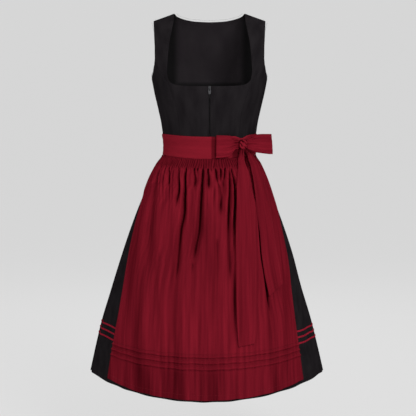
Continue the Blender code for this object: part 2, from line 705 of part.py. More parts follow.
def bow_loop(name, side, length, table, stand):
    """Loop of sash: out from the knot, round a soft fold at the tip and back. It is an
    open sheet whose height grows from the knot, so pleats gather there."""
    read = smooth_table(table)
    root, gain, power = stand
    middle = front_row(KNOT_X, KNOT_Z)
    start = LOOP_START
    runs = [1 - (1 - i / 6) ** 1.3 for i in range(7)]
    turn = [math.pi * i / 4 for i in range(1, 4)]
    path = [(start + (length - start) * s, s, 1.0) for s in runs]
    tip_gap = read(1.0)[1] / 2
    path += [(length + tip_gap * math.sin(a), 1.0, math.cos(a)) for a in turn]
    path += [(start + (length - start) * s, s, -1.0) for s in reversed(runs)]
    count = 4 * LOOP_PLEATS
    rows = []
    for along, share, layer in path:
        half, gap, droop = read(share)
        angle = sash_path(side * along)
        line = []
        for k in range(count + 1):
            v = 1 - 2 * k / count
            pleat = 0.0020 * (1 - share) ** 1.5 * math.cos(math.pi * LOOP_PLEATS * 2 * v)
            out = root + gain * share ** power + gap / 2 + pleat
            out += layer * (gap / 2) * (1 - 0.35 * v * v)
            line.append(body(angle, middle + half * v - droop, SASH_OUT + out))
        rows.append(line)
    points = [p for line in rows for p in line]
    faces = grid_faces(len(rows), count + 1)
    if side < 0:
        faces = [list(reversed(face)) for face in faces]
    mesh = bpy.data.meshes.new(name)
    mesh.from_pydata(points, [], faces)
    made = add_object(name, mesh, "red_satin")
    shell = made.modifiers.new("wall", "SOLIDIFY")
    shell.thickness = SATIN_WALL
    shell.offset = 0.0
    return made


def bow_knot():
    """Knot: the sash wrapped once round the loops, a soft round cushion with pleats."""
    foot, outward, sideways = knot_frame()
    mesh = bpy.data.meshes.new("bow_knot")
    shape = bmesh.new()
    bmesh.ops.create_uvsphere(shape, u_segments=16, v_segments=10, radius=0.5)
    for vert in shape.verts:
        x, y, z = (signed_power(2 * c, 0.80) / 2 for c in vert.co)
        pinch = 1 - 0.16 * math.cos(math.tau * 2.5 * x) * abs(y)
        place = foot + sideways * (x * KNOT_WIDTH)
        place += outward * ((y * pinch + 0.5) * KNOT_DEPTH + SEAM)
        vert.co = place + Vector((0, 0, z * KNOT_HEIGHT))
    shape.normal_update()
    bmesh.ops.recalc_face_normals(shape, faces=shape.faces)
    shape.to_mesh(mesh)
    shape.free()
    add_object("bow_knot", mesh, "red_satin")


def build_bow():
    bow_loop("bow_loop_left", -1, LEFT_REACH, LEFT_LOOP, LEFT_STAND)
    bow_loop("bow_loop_right", 1, RIGHT_REACH, RIGHT_LOOP, RIGHT_STAND)
    bow_knot()
    tie_end("tie_end_long", TIE_LONG, 0.0012)
    tie_end("tie_end_short", TIE_SHORT, 0.0)


# Zip

def front_y(z, x=0.0):
    """Depth of the bodice's outside near the centre front."""
    row = z
    for _ in range(4):
        row = z + section(row)[4]
    return bodice(angle_at(x, row), row).y


def strip(name, half_width, columns, sunk, thickness):
    """Upright strip along the centre front, sunk by a depth below the bodice's outside."""
    heights = [ZIP_TOP + (ZIP_FOOT - ZIP_TOP) * i / ZIP_ROWS for i in range(ZIP_ROWS + 1)]
    sides = [half_width * (2 * j / columns - 1) for j in range(columns + 1)]

    def place(x, z, out):
        return Vector((x, front_y(z, x) + sunk + TAPE_LEAN * abs(x) - out, z))

    grid_wall(name, place, sides, heights, "zip_tape", thickness)


def build_zip():
    """Tape behind the fronts, coil in the slit between them, slider and pull tab."""
    behind = BODICE_WALL + TAPE_GAP
    strip("zip_tape", TAPE_HALF, 4, behind, TAPE_WALL)
    strip("zip_coil", COIL_HALF, 1, SEAM, behind - 2 * SEAM)
    front = front_y(SLIDER_Z) - SEAM
    zip_slider(front)
    zip_pull(front)


def zip_slider(front):
    """Slider body with its bridge, the arch that the pull tab hangs from."""
    width, depth, height = SLIDER_SIZE
    middle = Vector((0, front - depth / 2, SLIDER_Z))
    bpy.ops.mesh.primitive_cube_add(size=1.0, location=middle)
    made = bpy.context.object
    made.name = "zip_slider"
    made.data.name = "zip_slider"
    made.scale = (width, depth, height)
    bpy.ops.object.transform_apply(location=False, rotation=False, scale=True)
    for group in made.users_collection:
        group.objects.unlink(made)
    bpy.data.collections["dirndl_dress"].objects.link(made)
    made.data.materials.append(material("zip_metal"))
    edges = made.modifiers.new("rounded", "BEVEL")
    edges.width = 0.0008
    edges.segments = 2
    arch = bridge_arch(front - depth)
    union = made.modifiers.new("bridge", "BOOLEAN")
    union.operation = "UNION"
    union.object = arch
    return made


def bridge_arch(face):
    """Arch on the slider's face, as a mesh that the slider is joined to."""
    curve = bpy.data.curves.new("bridge_arch", "CURVE")
    curve.dimensions = "3D"
    curve.bevel_depth = BRIDGE_RADIUS
    curve.bevel_resolution = 2
    curve.use_fill_caps = True
    spline = curve.splines.new("POLY")
    steps = 10
    spline.points.add(steps)
    for i in range(steps + 1):
        turn = math.pi * i / steps
        y = face + BRIDGE_ROOT - (BRIDGE_REACH + BRIDGE_ROOT) * math.sin(turn) ** 0.6
        spline.points[i].co = (0, y, SLIDER_Z + BRIDGE_HALF * math.cos(turn), 1)
    path = bpy.data.objects.new("bridge_path", curve)
    bpy.data.collections["cutters"].objects.link(path)
    bpy.context.view_layer.update()
    mesh = bpy.data.meshes.new_from_object(path.evaluated_get(bpy.context.evaluated_depsgraph_get()))
    solid = bmesh.new()
    solid.from_mesh(mesh)
    bmesh.ops.remove_doubles(solid, verts=solid.verts, dist=1e-6)
    solid.to_mesh(mesh)
    solid.free()
    arch = bpy.data.objects.new("bridge_arch", mesh)
    arch.matrix_world = path.matrix_world
    bpy.data.objects.remove(path, do_unlink=True)
    bpy.data.collections["cutters"].objects.link(arch)
    arch.hide_render = True
    arch.display_type = "WIRE"
    return arch


def zip_pull(front):
    """Teardrop tab with a window at its head; the head's bar hangs in the bridge."""
    pivot = Vector((0, front - SLIDER_SIZE[1] - HINGE_OUT, SLIDER_Z - HINGE_BELOW))
    curve = bpy.data.curves.new("zip_pull", "CURVE")
    curve.dimensions = "2D"
    curve.fill_mode = "BOTH"
    curve.extrude = PULL_WALL / 2
    outer = []
    for i in range(28):
        turn = math.tau * i / 28
        drop = 0.5 - 0.5 * math.cos(turn)
        half = PULL_WIDTH / 2 * (0.80 + 0.20 * math.sin(math.pi * drop))
        outer.append((half * signed_power(math.sin(turn), 0.45), PULL_HEAD - PULL_LENGTH * drop))
    window = [(WINDOW_HALF, WINDOW_TOP), (-WINDOW_HALF, WINDOW_TOP),
              (-WINDOW_HALF, WINDOW_FOOT), (WINDOW_HALF, WINDOW_FOOT)]
    for outline in (outer, window):
        spline = curve.splines.new("POLY")
        spline.points.add(len(outline) - 1)
        for point, (x, y) in zip(spline.points, outline):
            point.co = (x, y, 0, 1)
        spline.use_cyclic_u = True
    tab = bpy.data.objects.new("zip_pull", curve)
    curve.materials.append(material("zip_metal"))
    tab.location = pivot
    tab.rotation_euler = (math.radians(90), 0, 0)
    bpy.data.collections["dirndl_dress"].objects.link(tab)


start_scene()
build_bodice()
build_skirt()
build_apron()
build_sash()
build_bow()
build_zip()
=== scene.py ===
"""Looks of the dirndl dress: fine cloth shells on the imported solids, their sewing, the
zip and the materials, on a pale floor in soft studio light.

Metres, +Z up. The front looks along -Y, and +X is the viewer's right.
"""
import math
from functools import lru_cache

import bmesh
import bpy
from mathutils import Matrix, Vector, noise
from mathutils.geometry import delaunay_2d_cdt
from mathutils.kdtree import KDTree


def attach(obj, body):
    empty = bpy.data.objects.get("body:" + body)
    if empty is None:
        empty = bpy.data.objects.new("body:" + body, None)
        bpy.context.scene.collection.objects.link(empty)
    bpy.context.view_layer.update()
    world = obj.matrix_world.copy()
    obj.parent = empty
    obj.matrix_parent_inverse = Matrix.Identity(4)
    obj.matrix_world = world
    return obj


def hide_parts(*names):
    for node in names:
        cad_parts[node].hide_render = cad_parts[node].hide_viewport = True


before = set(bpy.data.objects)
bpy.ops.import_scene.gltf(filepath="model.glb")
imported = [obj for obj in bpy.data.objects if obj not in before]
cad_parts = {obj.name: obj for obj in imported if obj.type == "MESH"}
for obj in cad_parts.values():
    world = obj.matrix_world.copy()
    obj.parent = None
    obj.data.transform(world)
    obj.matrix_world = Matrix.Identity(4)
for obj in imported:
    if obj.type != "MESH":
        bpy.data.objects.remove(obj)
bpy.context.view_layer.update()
FINE = 1.0  # share of the grid's columns and rows

# Driving dimensions, the same as the solids'
NECK_HALF = 0.0917        # neck point to the centre
TIP_HALF = 0.145          # outer end of the shoulder seam to the centre
TIP_FALL = 0.019          # outer end of the shoulder seam below the neck point
BUST_FULL = 0.007         # extra fullness of each front, at this angle and row
BUST_ANGLE = 0.62
BUST_ROW = -0.212
WAIST = -0.354            # seam between bodice and skirt, under the sash
HEM = -0.9365             # skirt hem at the side seams
SEAM = 0.0003             # gap left between two pieces
SEWN = 0.00004            # and between two panels sewn edge to edge
BODICE_WALL = 0.0015
SATIN_WALL = 0.0012
RIBBON_GAP = 0.0005
SASH_TOP = -0.311         # waistband at the side seams
SASH_FOOT = -0.3655
APRON_HEM = -0.924        # apron hem at its corners
APRON_DROP = 0.006        # and how much lower it hangs at the middle
RIBBON_WIDTH = 0.0042
RIBBON_ROWS = (("top", -0.8033), ("middle", -0.818), ("bottom", -0.8327))
RIBBON_FALL = 0.0095      # the ribbons run this much lower at the viewer's right
PINTUCK_ROWS = (-0.84, -0.853, -0.866)
TUCK_REACH = 0.0065       # half the spacing of the tucks
FOLDS = 24                # deep skirt folds all round, two gathers in each
ZIP_GAP = 0.003           # width of the slit between the front edges
SASH_GAP = 0.0008         # between the bodice's facets and the sash
SASH_OUT = SASH_GAP + SATIN_WALL
BAND_ANGLE = 96.0         # the waistband reaches this far round, in degrees

# Thickness of the real cloth, finer than the solids' walls
COTTON = 0.0009
SATIN = 0.0006
RIBBON = 0.0005

# Horizontal sections of the dress, from the shoulders to the hem: the row, half the
# width, depth in front and behind, centre x, how far the row dips in front and behind,
# and the powers of x and y in the section's outline (2 and 2 make an ellipse)
SECTIONS = (
    (0.000, 0.1860, 0.0004, 0.0004, 0.0000, 0.0000, 0.000, 2.25, 2.25),
    (-0.018, 0.1840, 0.0310, 0.0400, 0.0000, 0.0000, 0.000, 2.25, 2.25),
    (-0.050, 0.1800, 0.0560, 0.0620, 0.0000, 0.0000, 0.000, 2.25, 2.25),
    (-0.100, 0.1720, 0.0820, 0.0840, 0.0000, 0.0000, 0.000, 2.25, 2.25),
    (-0.140, 0.1600, 0.1010, 0.0970, 0.0000, 0.0000, 0.000, 2.25, 2.25),
    (-0.165, 0.1515, 0.1130, 0.1010, 0.0000, 0.0000, 0.000, 2.25, 2.25),
    (-0.205, 0.1435, 0.1250, 0.1040, 0.0000, 0.0000, 0.000, 2.25, 2.25),
    (-0.244, 0.1345, 0.1190, 0.1010, 0.0000, 0.0020, 0.000, 2.20, 2.20),
    (-0.291, 0.1245, 0.1070, 0.0950, 0.0000, 0.0060, 0.000, 2.15, 2.15),
    (-0.330, 0.1203, 0.1005, 0.0922, 0.0000, 0.0090, 0.000, 2.10, 2.10),
    (-0.354, 0.1192, 0.0990, 0.0908, 0.0000, 0.0095, 0.000, 2.10, 2.10),
    (-0.366, 0.1205, 0.1008, 0.0924, -0.0010, 0.0095, 0.000, 2.10, 2.10),
    (-0.385, 0.1308, 0.1130, 0.1100, -0.0020, 0.0090, 0.000, 2.10, 2.10),
    (-0.433, 0.1525, 0.1400, 0.1480, -0.0040, 0.0080, 0.000, 2.05, 2.00),
    (-0.511, 0.1855, 0.1690, 0.1800, -0.0050, 0.0065, 0.002, 2.00, 1.88),
    (-0.616, 0.2225, 0.1990, 0.2110, -0.0055, 0.0060, 0.004, 2.00, 1.70),
    (-0.721, 0.2530, 0.2240, 0.2370, -0.0078, 0.0065, 0.006, 2.00, 1.54),
    (-0.800, 0.2770, 0.2400, 0.2540, -0.0078, 0.0080, 0.008, 2.00, 1.44),
    (-0.860, 0.2920, 0.2520, 0.2640, -0.0076, 0.0125, 0.009, 2.00, 1.36),
    (HEM, 0.3095, 0.2650, 0.2750, -0.0072, 0.0245, 0.012, 2.00, 1.28),
)

# Bodice outlines at the viewer's right: x and height of each point
NECKLINE = (
    (ZIP_GAP / 2, -0.1925), (0.03, -0.1923), (0.0585, -0.1913), (0.08, -0.189),
    (0.094, -0.1835), (0.103, -0.173), (0.107, -0.158), (0.1072, -0.138),
    (0.1055, -0.108), (0.1025, -0.078), (0.0965, -0.0448), (0.0925, -0.02),
    (NECK_HALF, 0.0),
)
BACK_NECKLINE = (
    (NECK_HALF, 0.0), (0.086, -0.0045), (0.074, -0.0095), (0.056, -0.014),
    (0.033, -0.017), (0.0, -0.0182),
)
FRONT_ARMHOLE = (
    (TIP_HALF, -TIP_FALL), (0.1432, -0.05), (0.141, -0.085), (0.1402, -0.115),
    (0.1415, -0.135),
)
SIDE_ARMHOLE = ((0.1415, -0.135), (0.1452, -0.153), (0.149, -0.164))
BACK_ARMHOLE = (
    (0.1497, -0.164), (0.144, -0.148), (0.1365, -0.12), (0.135, -0.09),
    (0.1385, -0.055), (TIP_HALF, -TIP_FALL),
)
PRINCESS_SEAM = (
    (0.1415, -0.135), (0.128, -0.15), (0.112, -0.17), (0.0985, -0.192),
    (0.0895, -0.218), (0.0815, -0.25), (0.0765, -0.3), (0.074, WAIST),
)
ARMHOLE_FOOT = -0.169     # lowest point of the armhole, at the side seam

# How far round the apron reaches: row, angle of its left and of its right edge
APRON_EDGES = (
    (-0.366, 97.0, 97.0), (-0.4, 92.5, 93.0), (-0.435, 83.0, 85.0),
    (-0.47, 74.0, 77.0), (-0.51, 68.5, 72.0), (-0.547, 66.0, 67.6),
    (-0.594, 63.0, 64.4), (-0.632, 60.8, 62.4), (-0.708, 56.9, 58.0),
    (-0.803, 54.4, 53.4), (APRON_HEM, 53.9, 51.6),
)
# Depth of the skirt's folds and of its gathers: row, folds, gathers
SKIRT_FOLDS = (
    (-0.354, 0.0, 0.0016), (-0.37, 0.0006, 0.0024), (-0.41, 0.003, 0.0034),
    (-0.48, 0.006, 0.003), (-0.56, 0.0085, 0.0018), (-0.7, 0.0085, 0.0006),
    (HEM, 0.0052, 0.0),
)
# Apron: row, rise of the wall off the skirt, depth of the gathers, depth of the folds
APRON_FOLDS = (
    (-0.3658, 0.0008, 0.0006, 0.0), (-0.376, 0.003, 0.0014, 0.0),
    (-0.39, 0.006, 0.0034, 0.0006), (-0.43, 0.008, 0.0034, 0.0022),
    (-0.52, 0.0085, 0.002, 0.0046), (-0.66, 0.0085, 0.0008, 0.0056),
    (-0.8, 0.009, 0.0002, 0.0048), (APRON_HEM, 0.0095, 0.0, 0.0036),
)
APRON_CLEAR = 0.0022      # the apron stays this far off the skirt, over its ribbons
EDGE_SETTLE = 0.7         # share of its lift that the apron loses at its side edges
# Long soft folds of the apron: place across at the top and at the hem, width, share of depth
APRON_CREASES = (
    (-0.9, -0.93, 0.05, 0.6), (-0.62, -0.74, 0.06, 0.9), (-0.4, -0.5, 0.05, 0.7),
    (-0.21, -0.31, 0.055, 1.0), (-0.06, -0.1, 0.05, 0.9), (0.07, 0.1, 0.045, 0.6),
    (0.22, 0.24, 0.05, 1.0), (0.42, 0.48, 0.06, 0.8), (0.66, 0.74, 0.055, 0.8),
    (0.88, 0.92, 0.05, 0.6),
)

# Tie ends, in front view: height and x of the left edge, height and x of the right edge
TIE_LONG = (
    (-0.3508, 0.0714, -0.3508, 0.0805), (-0.364, 0.069, -0.364, 0.081),
    (-0.388, 0.0654, -0.388, 0.0822), (-0.407, 0.0632, -0.407, 0.088),
    (-0.428, 0.0619, -0.428, 0.0932), (-0.452, 0.0612, -0.452, 0.0966),
    (-0.5, 0.0602, -0.5, 0.1038), (-0.574, 0.059, -0.574, 0.1078),
    (-0.66, 0.0594, -0.66, 0.1068), (-0.75, 0.0608, -0.75, 0.1066),
    (-0.795, 0.0628, -0.793, 0.1056), (-0.827, 0.0652, -0.822, 0.101),
)
TIE_SHORT = (
    (-0.3508, 0.0819, -0.3508, 0.0874), (-0.366, 0.089, -0.366, 0.102),
    (-0.388, 0.0927, -0.388, 0.111), (-0.408, 0.0958, -0.408, 0.1186),
    (-0.428, 0.0996, -0.428, 0.1248), (-0.454, 0.1031, -0.454, 0.1311),
    (-0.5, 0.1066, -0.5, 0.1415), (-0.5627, 0.115, -0.5657, 0.1513),
    (-0.61, 0.1188, -0.61, 0.1573), (-0.66, 0.1256, -0.65, 0.1652),
    (-0.712, 0.1366, -0.6849, 0.1709),
)
TIE_FALL = 0.007          # a tie end leaves the knot this far off the sash
TIE_LANDING = -0.45       # and lies on the apron from here down

# Bow
KNOT_X = 0.0794
KNOT_Z = -0.3377
KNOT_WIDTH = 0.0206
KNOT_HEIGHT = 0.0256
KNOT_DEPTH = 0.013
LOOP_PLEATS = 3
LOOP_START = 0.0106       # the loops leave the knot this far from its middle
LEFT_REACH = 0.064        # and their tips lie this far round the sash
RIGHT_REACH = 0.0728
# How far a loop stands off the sash: at the knot, what it gains by the tip, and the power
LEFT_STAND = (0.0033, -0.001, 1.0)
RIGHT_STAND = (0.0036, 0.033, 1.7)
RIGHT_LEAN = 0.0066       # its upper corner stands this much less far off
KNOT_FULL = 1.16          # the soft knot is a little fuller than its CAD block
# Loops of the bow: share of the length, half height, gap between the layers, droop
LEFT_LOOP = (
    (0.0, 0.01, 0.0022, 0.0), (0.2, 0.0118, 0.0042, 0.0), (0.33, 0.018, 0.0064, 0.0008),
    (0.5, 0.0255, 0.0082, 0.0026), (1.0, 0.0274, 0.008, 0.0028),
)
RIGHT_LOOP = (
    (0.0, 0.01, 0.0022, 0.0), (0.12, 0.015, 0.0044, 0.0002), (0.35, 0.0215, 0.0092, 0.001),
    (0.65, 0.0245, 0.012, 0.0028), (1.0, 0.0262, 0.01, 0.0054),
)

# Zip
ZIP_TOP = -0.1935
ZIP_FOOT = -0.352
TAPE_HALF = 0.011
TAPE_GAP = 0.0012
TAPE_LEAN = 0.06
COIL_HALF = 0.0012

# Creases of the apron that drop from the header: rows and places across, then the width
# and depth of the trough at its head
APRON_DROPS = (
    (((-0.389, -0.243), (-0.448, -0.247), (-0.47, -0.257), (-0.492, -0.257), (-0.51, -0.263),
      (-0.545, -0.286), (-0.632, -0.302), (-0.72, -0.323)), 0.0028, 0.009),
    (((-0.389, -0.052), (-0.434, -0.059), (-0.485, -0.073), (-0.51, -0.077), (-0.541, -0.084),
      (-0.584, -0.117), (-0.66, -0.155)), 0.0026, 0.009),
    (((-0.389, 0.225), (-0.46, 0.233), (-0.523, 0.223), (-0.61, 0.23), (-0.7, 0.224)),
     0.0026, 0.009),
    (((-0.389, 0.245), (-0.448, 0.288), (-0.47, 0.297), (-0.524, 0.282), (-0.62, 0.27)),
     0.0024, 0.0088),
    (((-0.47, 0.297), (-0.51, 0.288), (-0.646, 0.271), (-0.781, 0.27), (-0.86, 0.28)),
     0.0022, 0.0045),
    (((-0.39, -0.626), (-0.451, -0.675), (-0.47, -0.702), (-0.505, -0.719), (-0.563, -0.723),
      (-0.64, -0.76)), 0.0058, 0.0105),
    (((-0.3668, 0.505), (-0.381, 0.477), (-0.408, 0.472), (-0.438, 0.5), (-0.48, 0.532)),
     0.005, 0.01),
    (((-0.49, 0.547), (-0.51, 0.549), (-0.554, 0.556), (-0.605, 0.557), (-0.657, 0.586),
      (-0.706, 0.616), (-0.8, 0.65)), 0.0024, 0.0075),
    (((-0.386, -0.477), (-0.416, -0.448), (-0.45, -0.468)), 0.0022, 0.006),
    (((-0.388, -0.335), (-0.436, -0.313), (-0.47, -0.341), (-0.5, -0.348)), 0.0022, 0.006),
    (((-0.388, -0.154), (-0.412, -0.138), (-0.45, -0.15)), 0.002, 0.0058),
    (((-0.388, -0.11), (-0.412, -0.111), (-0.44, -0.121)), 0.0018, 0.0046),
    (((-0.389, -0.008), (-0.412, 0.004), (-0.45, 0.009)), 0.002, 0.0055),
    (((-0.389, 0.067), (-0.421, 0.096), (-0.466, 0.14), (-0.51, 0.142), (-0.53, 0.141)),
     0.0024, 0.007),
    (((-0.389, 0.122), (-0.425, 0.137), (-0.465, 0.156)), 0.002, 0.005),
    (((-0.389, 0.17), (-0.421, 0.161), (-0.47, 0.173), (-0.49, 0.172)), 0.0022, 0.0062),
    (((-0.39, 0.378), (-0.44, 0.431), (-0.47, 0.455), (-0.52, 0.438)), 0.0026, 0.0055),
    (((-0.392, 0.732), (-0.45, 0.835), (-0.47, 0.863), (-0.51, 0.845), (-0.54, 0.826)),
     0.003, 0.006),
    (((-0.392, -0.81), (-0.45, -0.936), (-0.47, -0.973), (-0.51, -0.956), (-0.54, -0.905)),
     0.003, 0.0055),
    (((-0.62, -0.145), (-0.7, -0.156), (-0.8, -0.162)), 0.005, 0.0034),
    (((-0.56, 0.095), (-0.68, 0.102), (-0.79, 0.106)), 0.0048, 0.0034),
    (((-0.6, -0.498), (-0.7, -0.518), (-0.8, -0.528)), 0.005, 0.0034),
)

CAMERA = Vector((-0.0039, -3.0, -0.31))
AIM = Vector((-0.0039, 0.0, -0.5058))
VIEW_WIDTH = 1.09         # width of the view at the dress's middle plane
SENSOR = 36.0
FLOOR = -1.16             # the wearer holds the dress up, clear of the floor


def smooth_table(rows):
    """Reader of a table: a curve through its rows that never overshoots them."""
    rows = sorted(rows)
    keys = [row[0] for row in rows]
    steps = [b - a for a, b in zip(keys, keys[1:])]
    columns = list(zip(*rows))[1:]
    slopes = []
    for column in columns:
        rates = [(b - a) / step for a, b, step in zip(column, column[1:], steps)]
        inner = [2 * a * b / (a + b) if a * b > 0 else 0.0 for a, b in zip(rates, rates[1:])]
        slopes.append([rates[0]] + inner + [rates[-1]])

    @lru_cache(maxsize=4096)
    def read(key):
        key = min(max(key, keys[0]), keys[-1])
        i = max(k for k in range(len(steps)) if keys[k] <= key)
        t = (key - keys[i]) / steps[i]
        values = []
        for column, slope in zip(columns, slopes):
            a, b = column[i], column[i + 1]
            rise = a * (1 + 2 * t) * (1 - t) ** 2 + b * t * t * (3 - 2 * t)
            lean = slope[i] * t * (1 - t) ** 2 - slope[i + 1] * t * t * (1 - t)
            values.append(rise + steps[i] * lean)
        return values

    return read


def bell(distance, width):
    """Soft bump of height one."""
    return math.exp(-(distance / width) ** 2)


def blend(low, high, value):
    """Smooth step from zero at low to one at high."""
    t = min(max((value - low) / (high - low), 0.0), 1.0)
    return t * t * (3 - 2 * t)


def window(low, full, wane, gone, value):
    """Smooth rise from zero at low to one, and fall back to zero at gone."""
    return (1 - blend(wane, gone, value)) * blend(low, full, value)


def signed_power(value, power):
    return math.copysign(abs(value) ** power, value)


def drift(x, y, seed):
    """Smooth uneven value from about -1 to 1, the same on every run."""
    return noise.noise(Vector((x, y, seed * 7.31)))


# The table is read at the root of the depth below the shoulders, so that the straps
# turn over the shoulders in a round ridge
sections_by_root = smooth_table([(-math.sqrt(-row[0]),) + row[1:] for row in SECTIONS])


def section(row):
    return sections_by_root(-math.sqrt(max(-row, 0.0)))


def angle_at(x, row):
    """Angle round the front half at which the section reaches x."""
    half, _, _, centre, _, _, power, _ = section(row)
    share = min(max((x - centre) / half, -1.0), 1.0)
    return math.asin(signed_power(share, power / 2))


def body(angle, row, out=0.0):
    """Point of the dress at an angle from the centre front, moved out level."""
    half, front, back, centre, front_dip, back_dip, wide, deep = section(row)
    ahead = math.cos(angle)
    depth, dip = (front, front_dip) if ahead > 0 else (back, back_dip)
    x = signed_power(math.sin(angle), 2 / wide)
    y = -signed_power(ahead, 2 / deep)
    normal = Vector((wide * signed_power(x, wide - 1) / half,
                     deep * signed_power(y, deep - 1) / depth, 0))
    point = Vector((centre + half * x, depth * y, row - dip * ahead * ahead))
    return point + normal.normalized() * out


def shoulder_fall(x):
    share = (abs(x) - NECK_HALF) / (TIP_HALF - NECK_HALF)
    return TIP_FALL * min(max(share, 0.0), 1.1)


def bodice(angle, row):
    """Point of the bodice's outside, with the sloping shoulder and the bust's fullness."""
    half, _, _, _, front_dip, back_dip, power, _ = section(row)
    x = half * signed_power(math.sin(angle), 2 / power)
    lift = shoulder_fall(x) * blend(-0.15, -0.03, row)
    _, front, back, _, _, _, _, _ = section(min(row + lift, 0.0))
    ahead = math.cos(angle)
    depth, dip = (front, front_dip) if ahead > 0 else (back, back_dip)
    fullness = BUST_FULL * bell(abs(angle) - BUST_ANGLE, 0.4) * bell(row - BUST_ROW, 0.042)
    point = Vector((x, -depth * signed_power(ahead, 2 / power), row - dip * ahead * ahead))
    out = Vector((math.sin(angle), -ahead, 0.0))
    return point + out * fullness


def bodice_normal(angle, row):
    """Outward direction, read just below the point so that it holds on the shoulders."""
    step = 0.0008
    across = bodice(angle + step, row) - bodice(angle - step, row)
    along = bodice(angle, row) - bodice(angle, row - step)
    return across.cross(along).normalized()


# Making pieces

# Folds get painted shade: the cloth's colour darkens with how deep a point lies in a fold
PAINTED_SHADE_REACH = (0.0036, 0.009)  # a fold is judged over these distances to each side
PAINTED_SHADE_RANGE = (0.04, 0.46)  # depth over width where the shade starts and is full


def put(name, data, place=None, aim=None):
    """Object in the scene, at its place and turned towards its aim."""
    made = bpy.data.objects.new(name, data)
    if aim:
        made.location = place
        made.rotation_euler = (Vector(aim) - Vector(place)).to_track_quat("-Z", "Y").to_euler()
    bpy.context.scene.collection.objects.link(made)
    return made


def new_mesh(name, points, faces):
    mesh = bpy.data.meshes.new(name)
    mesh.from_pydata(points, [], faces)
    return mesh


def closed_mesh(name, shape):
    """Mesh of a finished closed shape."""
    bmesh.ops.recalc_face_normals(shape, faces=shape.faces)
    mesh = bpy.data.meshes.new(name)
    shape.to_mesh(mesh)
    shape.free()
    return mesh


def add_bar(shape, rings):
    """Closed bar through rings of points."""
    loops = [[shape.verts.new(point) for point in ring] for ring in rings]
    for one, two in zip(loops, loops[1:]):
        for k in range(len(one)):
            shape.faces.new((one[k - 1], one[k], two[k], two[k - 1]))
    shape.faces.new(reversed(loops[0]))
    shape.faces.new(loops[-1])


def piece(name, mesh, finish, nodes=()):
    """Object of a finished mesh, with its material, riding on the dress."""
    mesh.materials.append(material(finish))
    mesh.shade_smooth()
    made = put(name, mesh)
    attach(made, "dress")
    if nodes:
        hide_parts(*nodes)
    return made


def thicken(made, thickness, rounding=0.3):
    """Gives an outer cloth surface its thickness inwards, with soft edges."""
    shell = made.modifiers.new("thickness", "SOLIDIFY")
    shell.thickness = thickness
    shell.offset = -1.0
    shell.use_quality_normals = True
    edge = made.modifiers.new("soft_edge", "BEVEL")
    edge.limit_method = "ANGLE"
    edge.angle_limit = math.radians(60)
    edge.width = rounding * thickness
    edge.segments = 2
    return made


def add_uv_map(mesh, coordinates):
    """UV map in metres of cloth, along and across the thread."""
    layer = mesh.uv_layers.new(name="cloth")
    for loop in mesh.loops:
        layer.data[loop.index].uv = coordinates[loop.vertex_index]


def painted_fold_shades(rows, flip):
    """How deep each point of a cloth grid lies in a fold, from zero to one, for the painted shade
    that darkens the cloth's colour there.
    """
    last, end = len(rows) - 1, len(rows[0]) - 1
    values = []
    for i, line in enumerate(rows):
        pitch = sum((b - a).length for a, b in zip(line, line[1:])) / end
        above, below = rows[max(i - 1, 0)], rows[min(i + 1, last)]
        steps = [max(round(reach / pitch), 1) for reach in PAINTED_SHADE_REACH]
        for j, point in enumerate(line):
            down = above[j] - below[j]
            depth = 0.0
            for step in steps:
                left, right = line[max(j - step, 0)], line[min(j + step, end)]
                chord = right - left
                out = chord.cross(down).normalized() * (-1 if flip else 1)
                depth = max(depth, ((left + right) / 2 - point).dot(out) / chord.length)
            values.append(blend(*PAINTED_SHADE_RANGE, depth))
    return values


def add_painted_shade(mesh, values):
    """Attribute that the cloth's material reads to paint shade into its colour, in folds and
    shadows.
    """
    layer = mesh.attributes.new("painted_fold_shade", "FLOAT", "POINT")
    layer.data.foreach_set("value", values)


def cloth_grid(name, rows, finish, thickness, nodes=(), flip=False, shade=None):
    """Cloth over rows of points that run to the right and down, seen from outside. The
    painted shade of each point, from zero to one, is added to the painted shade of its folds."""
    count = len(rows[0])
    points = [point for line in rows for point in line]
    faces = []
    for i in range(len(rows) - 1):
        for j in range(count - 1):
            top, low = i * count + j, (i + 1) * count + j
            face = (top, low, low + 1, top + 1)
            faces.append(tuple(reversed(face)) if flip else face)
    mesh = new_mesh(name, points, faces)
    middle = count // 2
    down = [0.0]
    for above, below in zip(rows, rows[1:]):
        down.append(down[-1] + (below[middle] - above[middle]).length)
    coordinates = []
    for i, line in enumerate(rows):
        along = [0.0]
        for a, b in zip(line, line[1:]):
            along.append(along[-1] + (b - a).length)
        coordinates += [(value - along[middle], -down[i]) for value in along]
    add_uv_map(mesh, coordinates)
    values = painted_fold_shades(rows, flip)
    if shade:
        values = [max(value, more) for value, more in zip(values, shade)]
    add_painted_shade(mesh, values)
    return thicken(piece(name, mesh, finish, nodes), thickness)


def steps_between(start, end, pitch):
    """Evenly spaced values from start to end, about a pitch apart, both ends kept."""
    count = max(round(abs(end - start) / pitch * FINE), 1)
    return [start + (end - start) * i / count for i in range(count + 1)]


def grid_rows(*stops):
    """Rows from the first stop to the last: each stop is a row and the pitch below it."""
    rows = [stops[0][0]]
    for (start, pitch), (end, _) in zip(stops, stops[1:]):
        rows += steps_between(start, end, pitch)[1:]
    return rows


# Materials

def new_material(name, colour, roughness, specular, metallic=0.0):
    """Principled material, its node tree and its shader."""
    made = bpy.data.materials.new(name)
    made.use_nodes = True
    made.diffuse_color = (*colour, 1.0)
    shader = made.node_tree.nodes["Principled BSDF"]
    shader.inputs["Base Color"].default_value = (*colour, 1.0)
    shader.inputs["Roughness"].default_value = roughness
    shader.inputs["Specular IOR Level"].default_value = specular
    shader.inputs["Metallic"].default_value = metallic
    return made, made.node_tree, shader


def add_node(tree, kind, **settings):
    """New node with its settings: attributes, values of inputs, or sockets to link."""
    node = tree.nodes.new(kind)
    for key, value in settings.items():
        if hasattr(node, key):
            setattr(node, key, value)
        elif isinstance(value, bpy.types.NodeSocket):
            tree.links.new(value, node.inputs[key])
        else:
            node.inputs[key].default_value = value
    return node


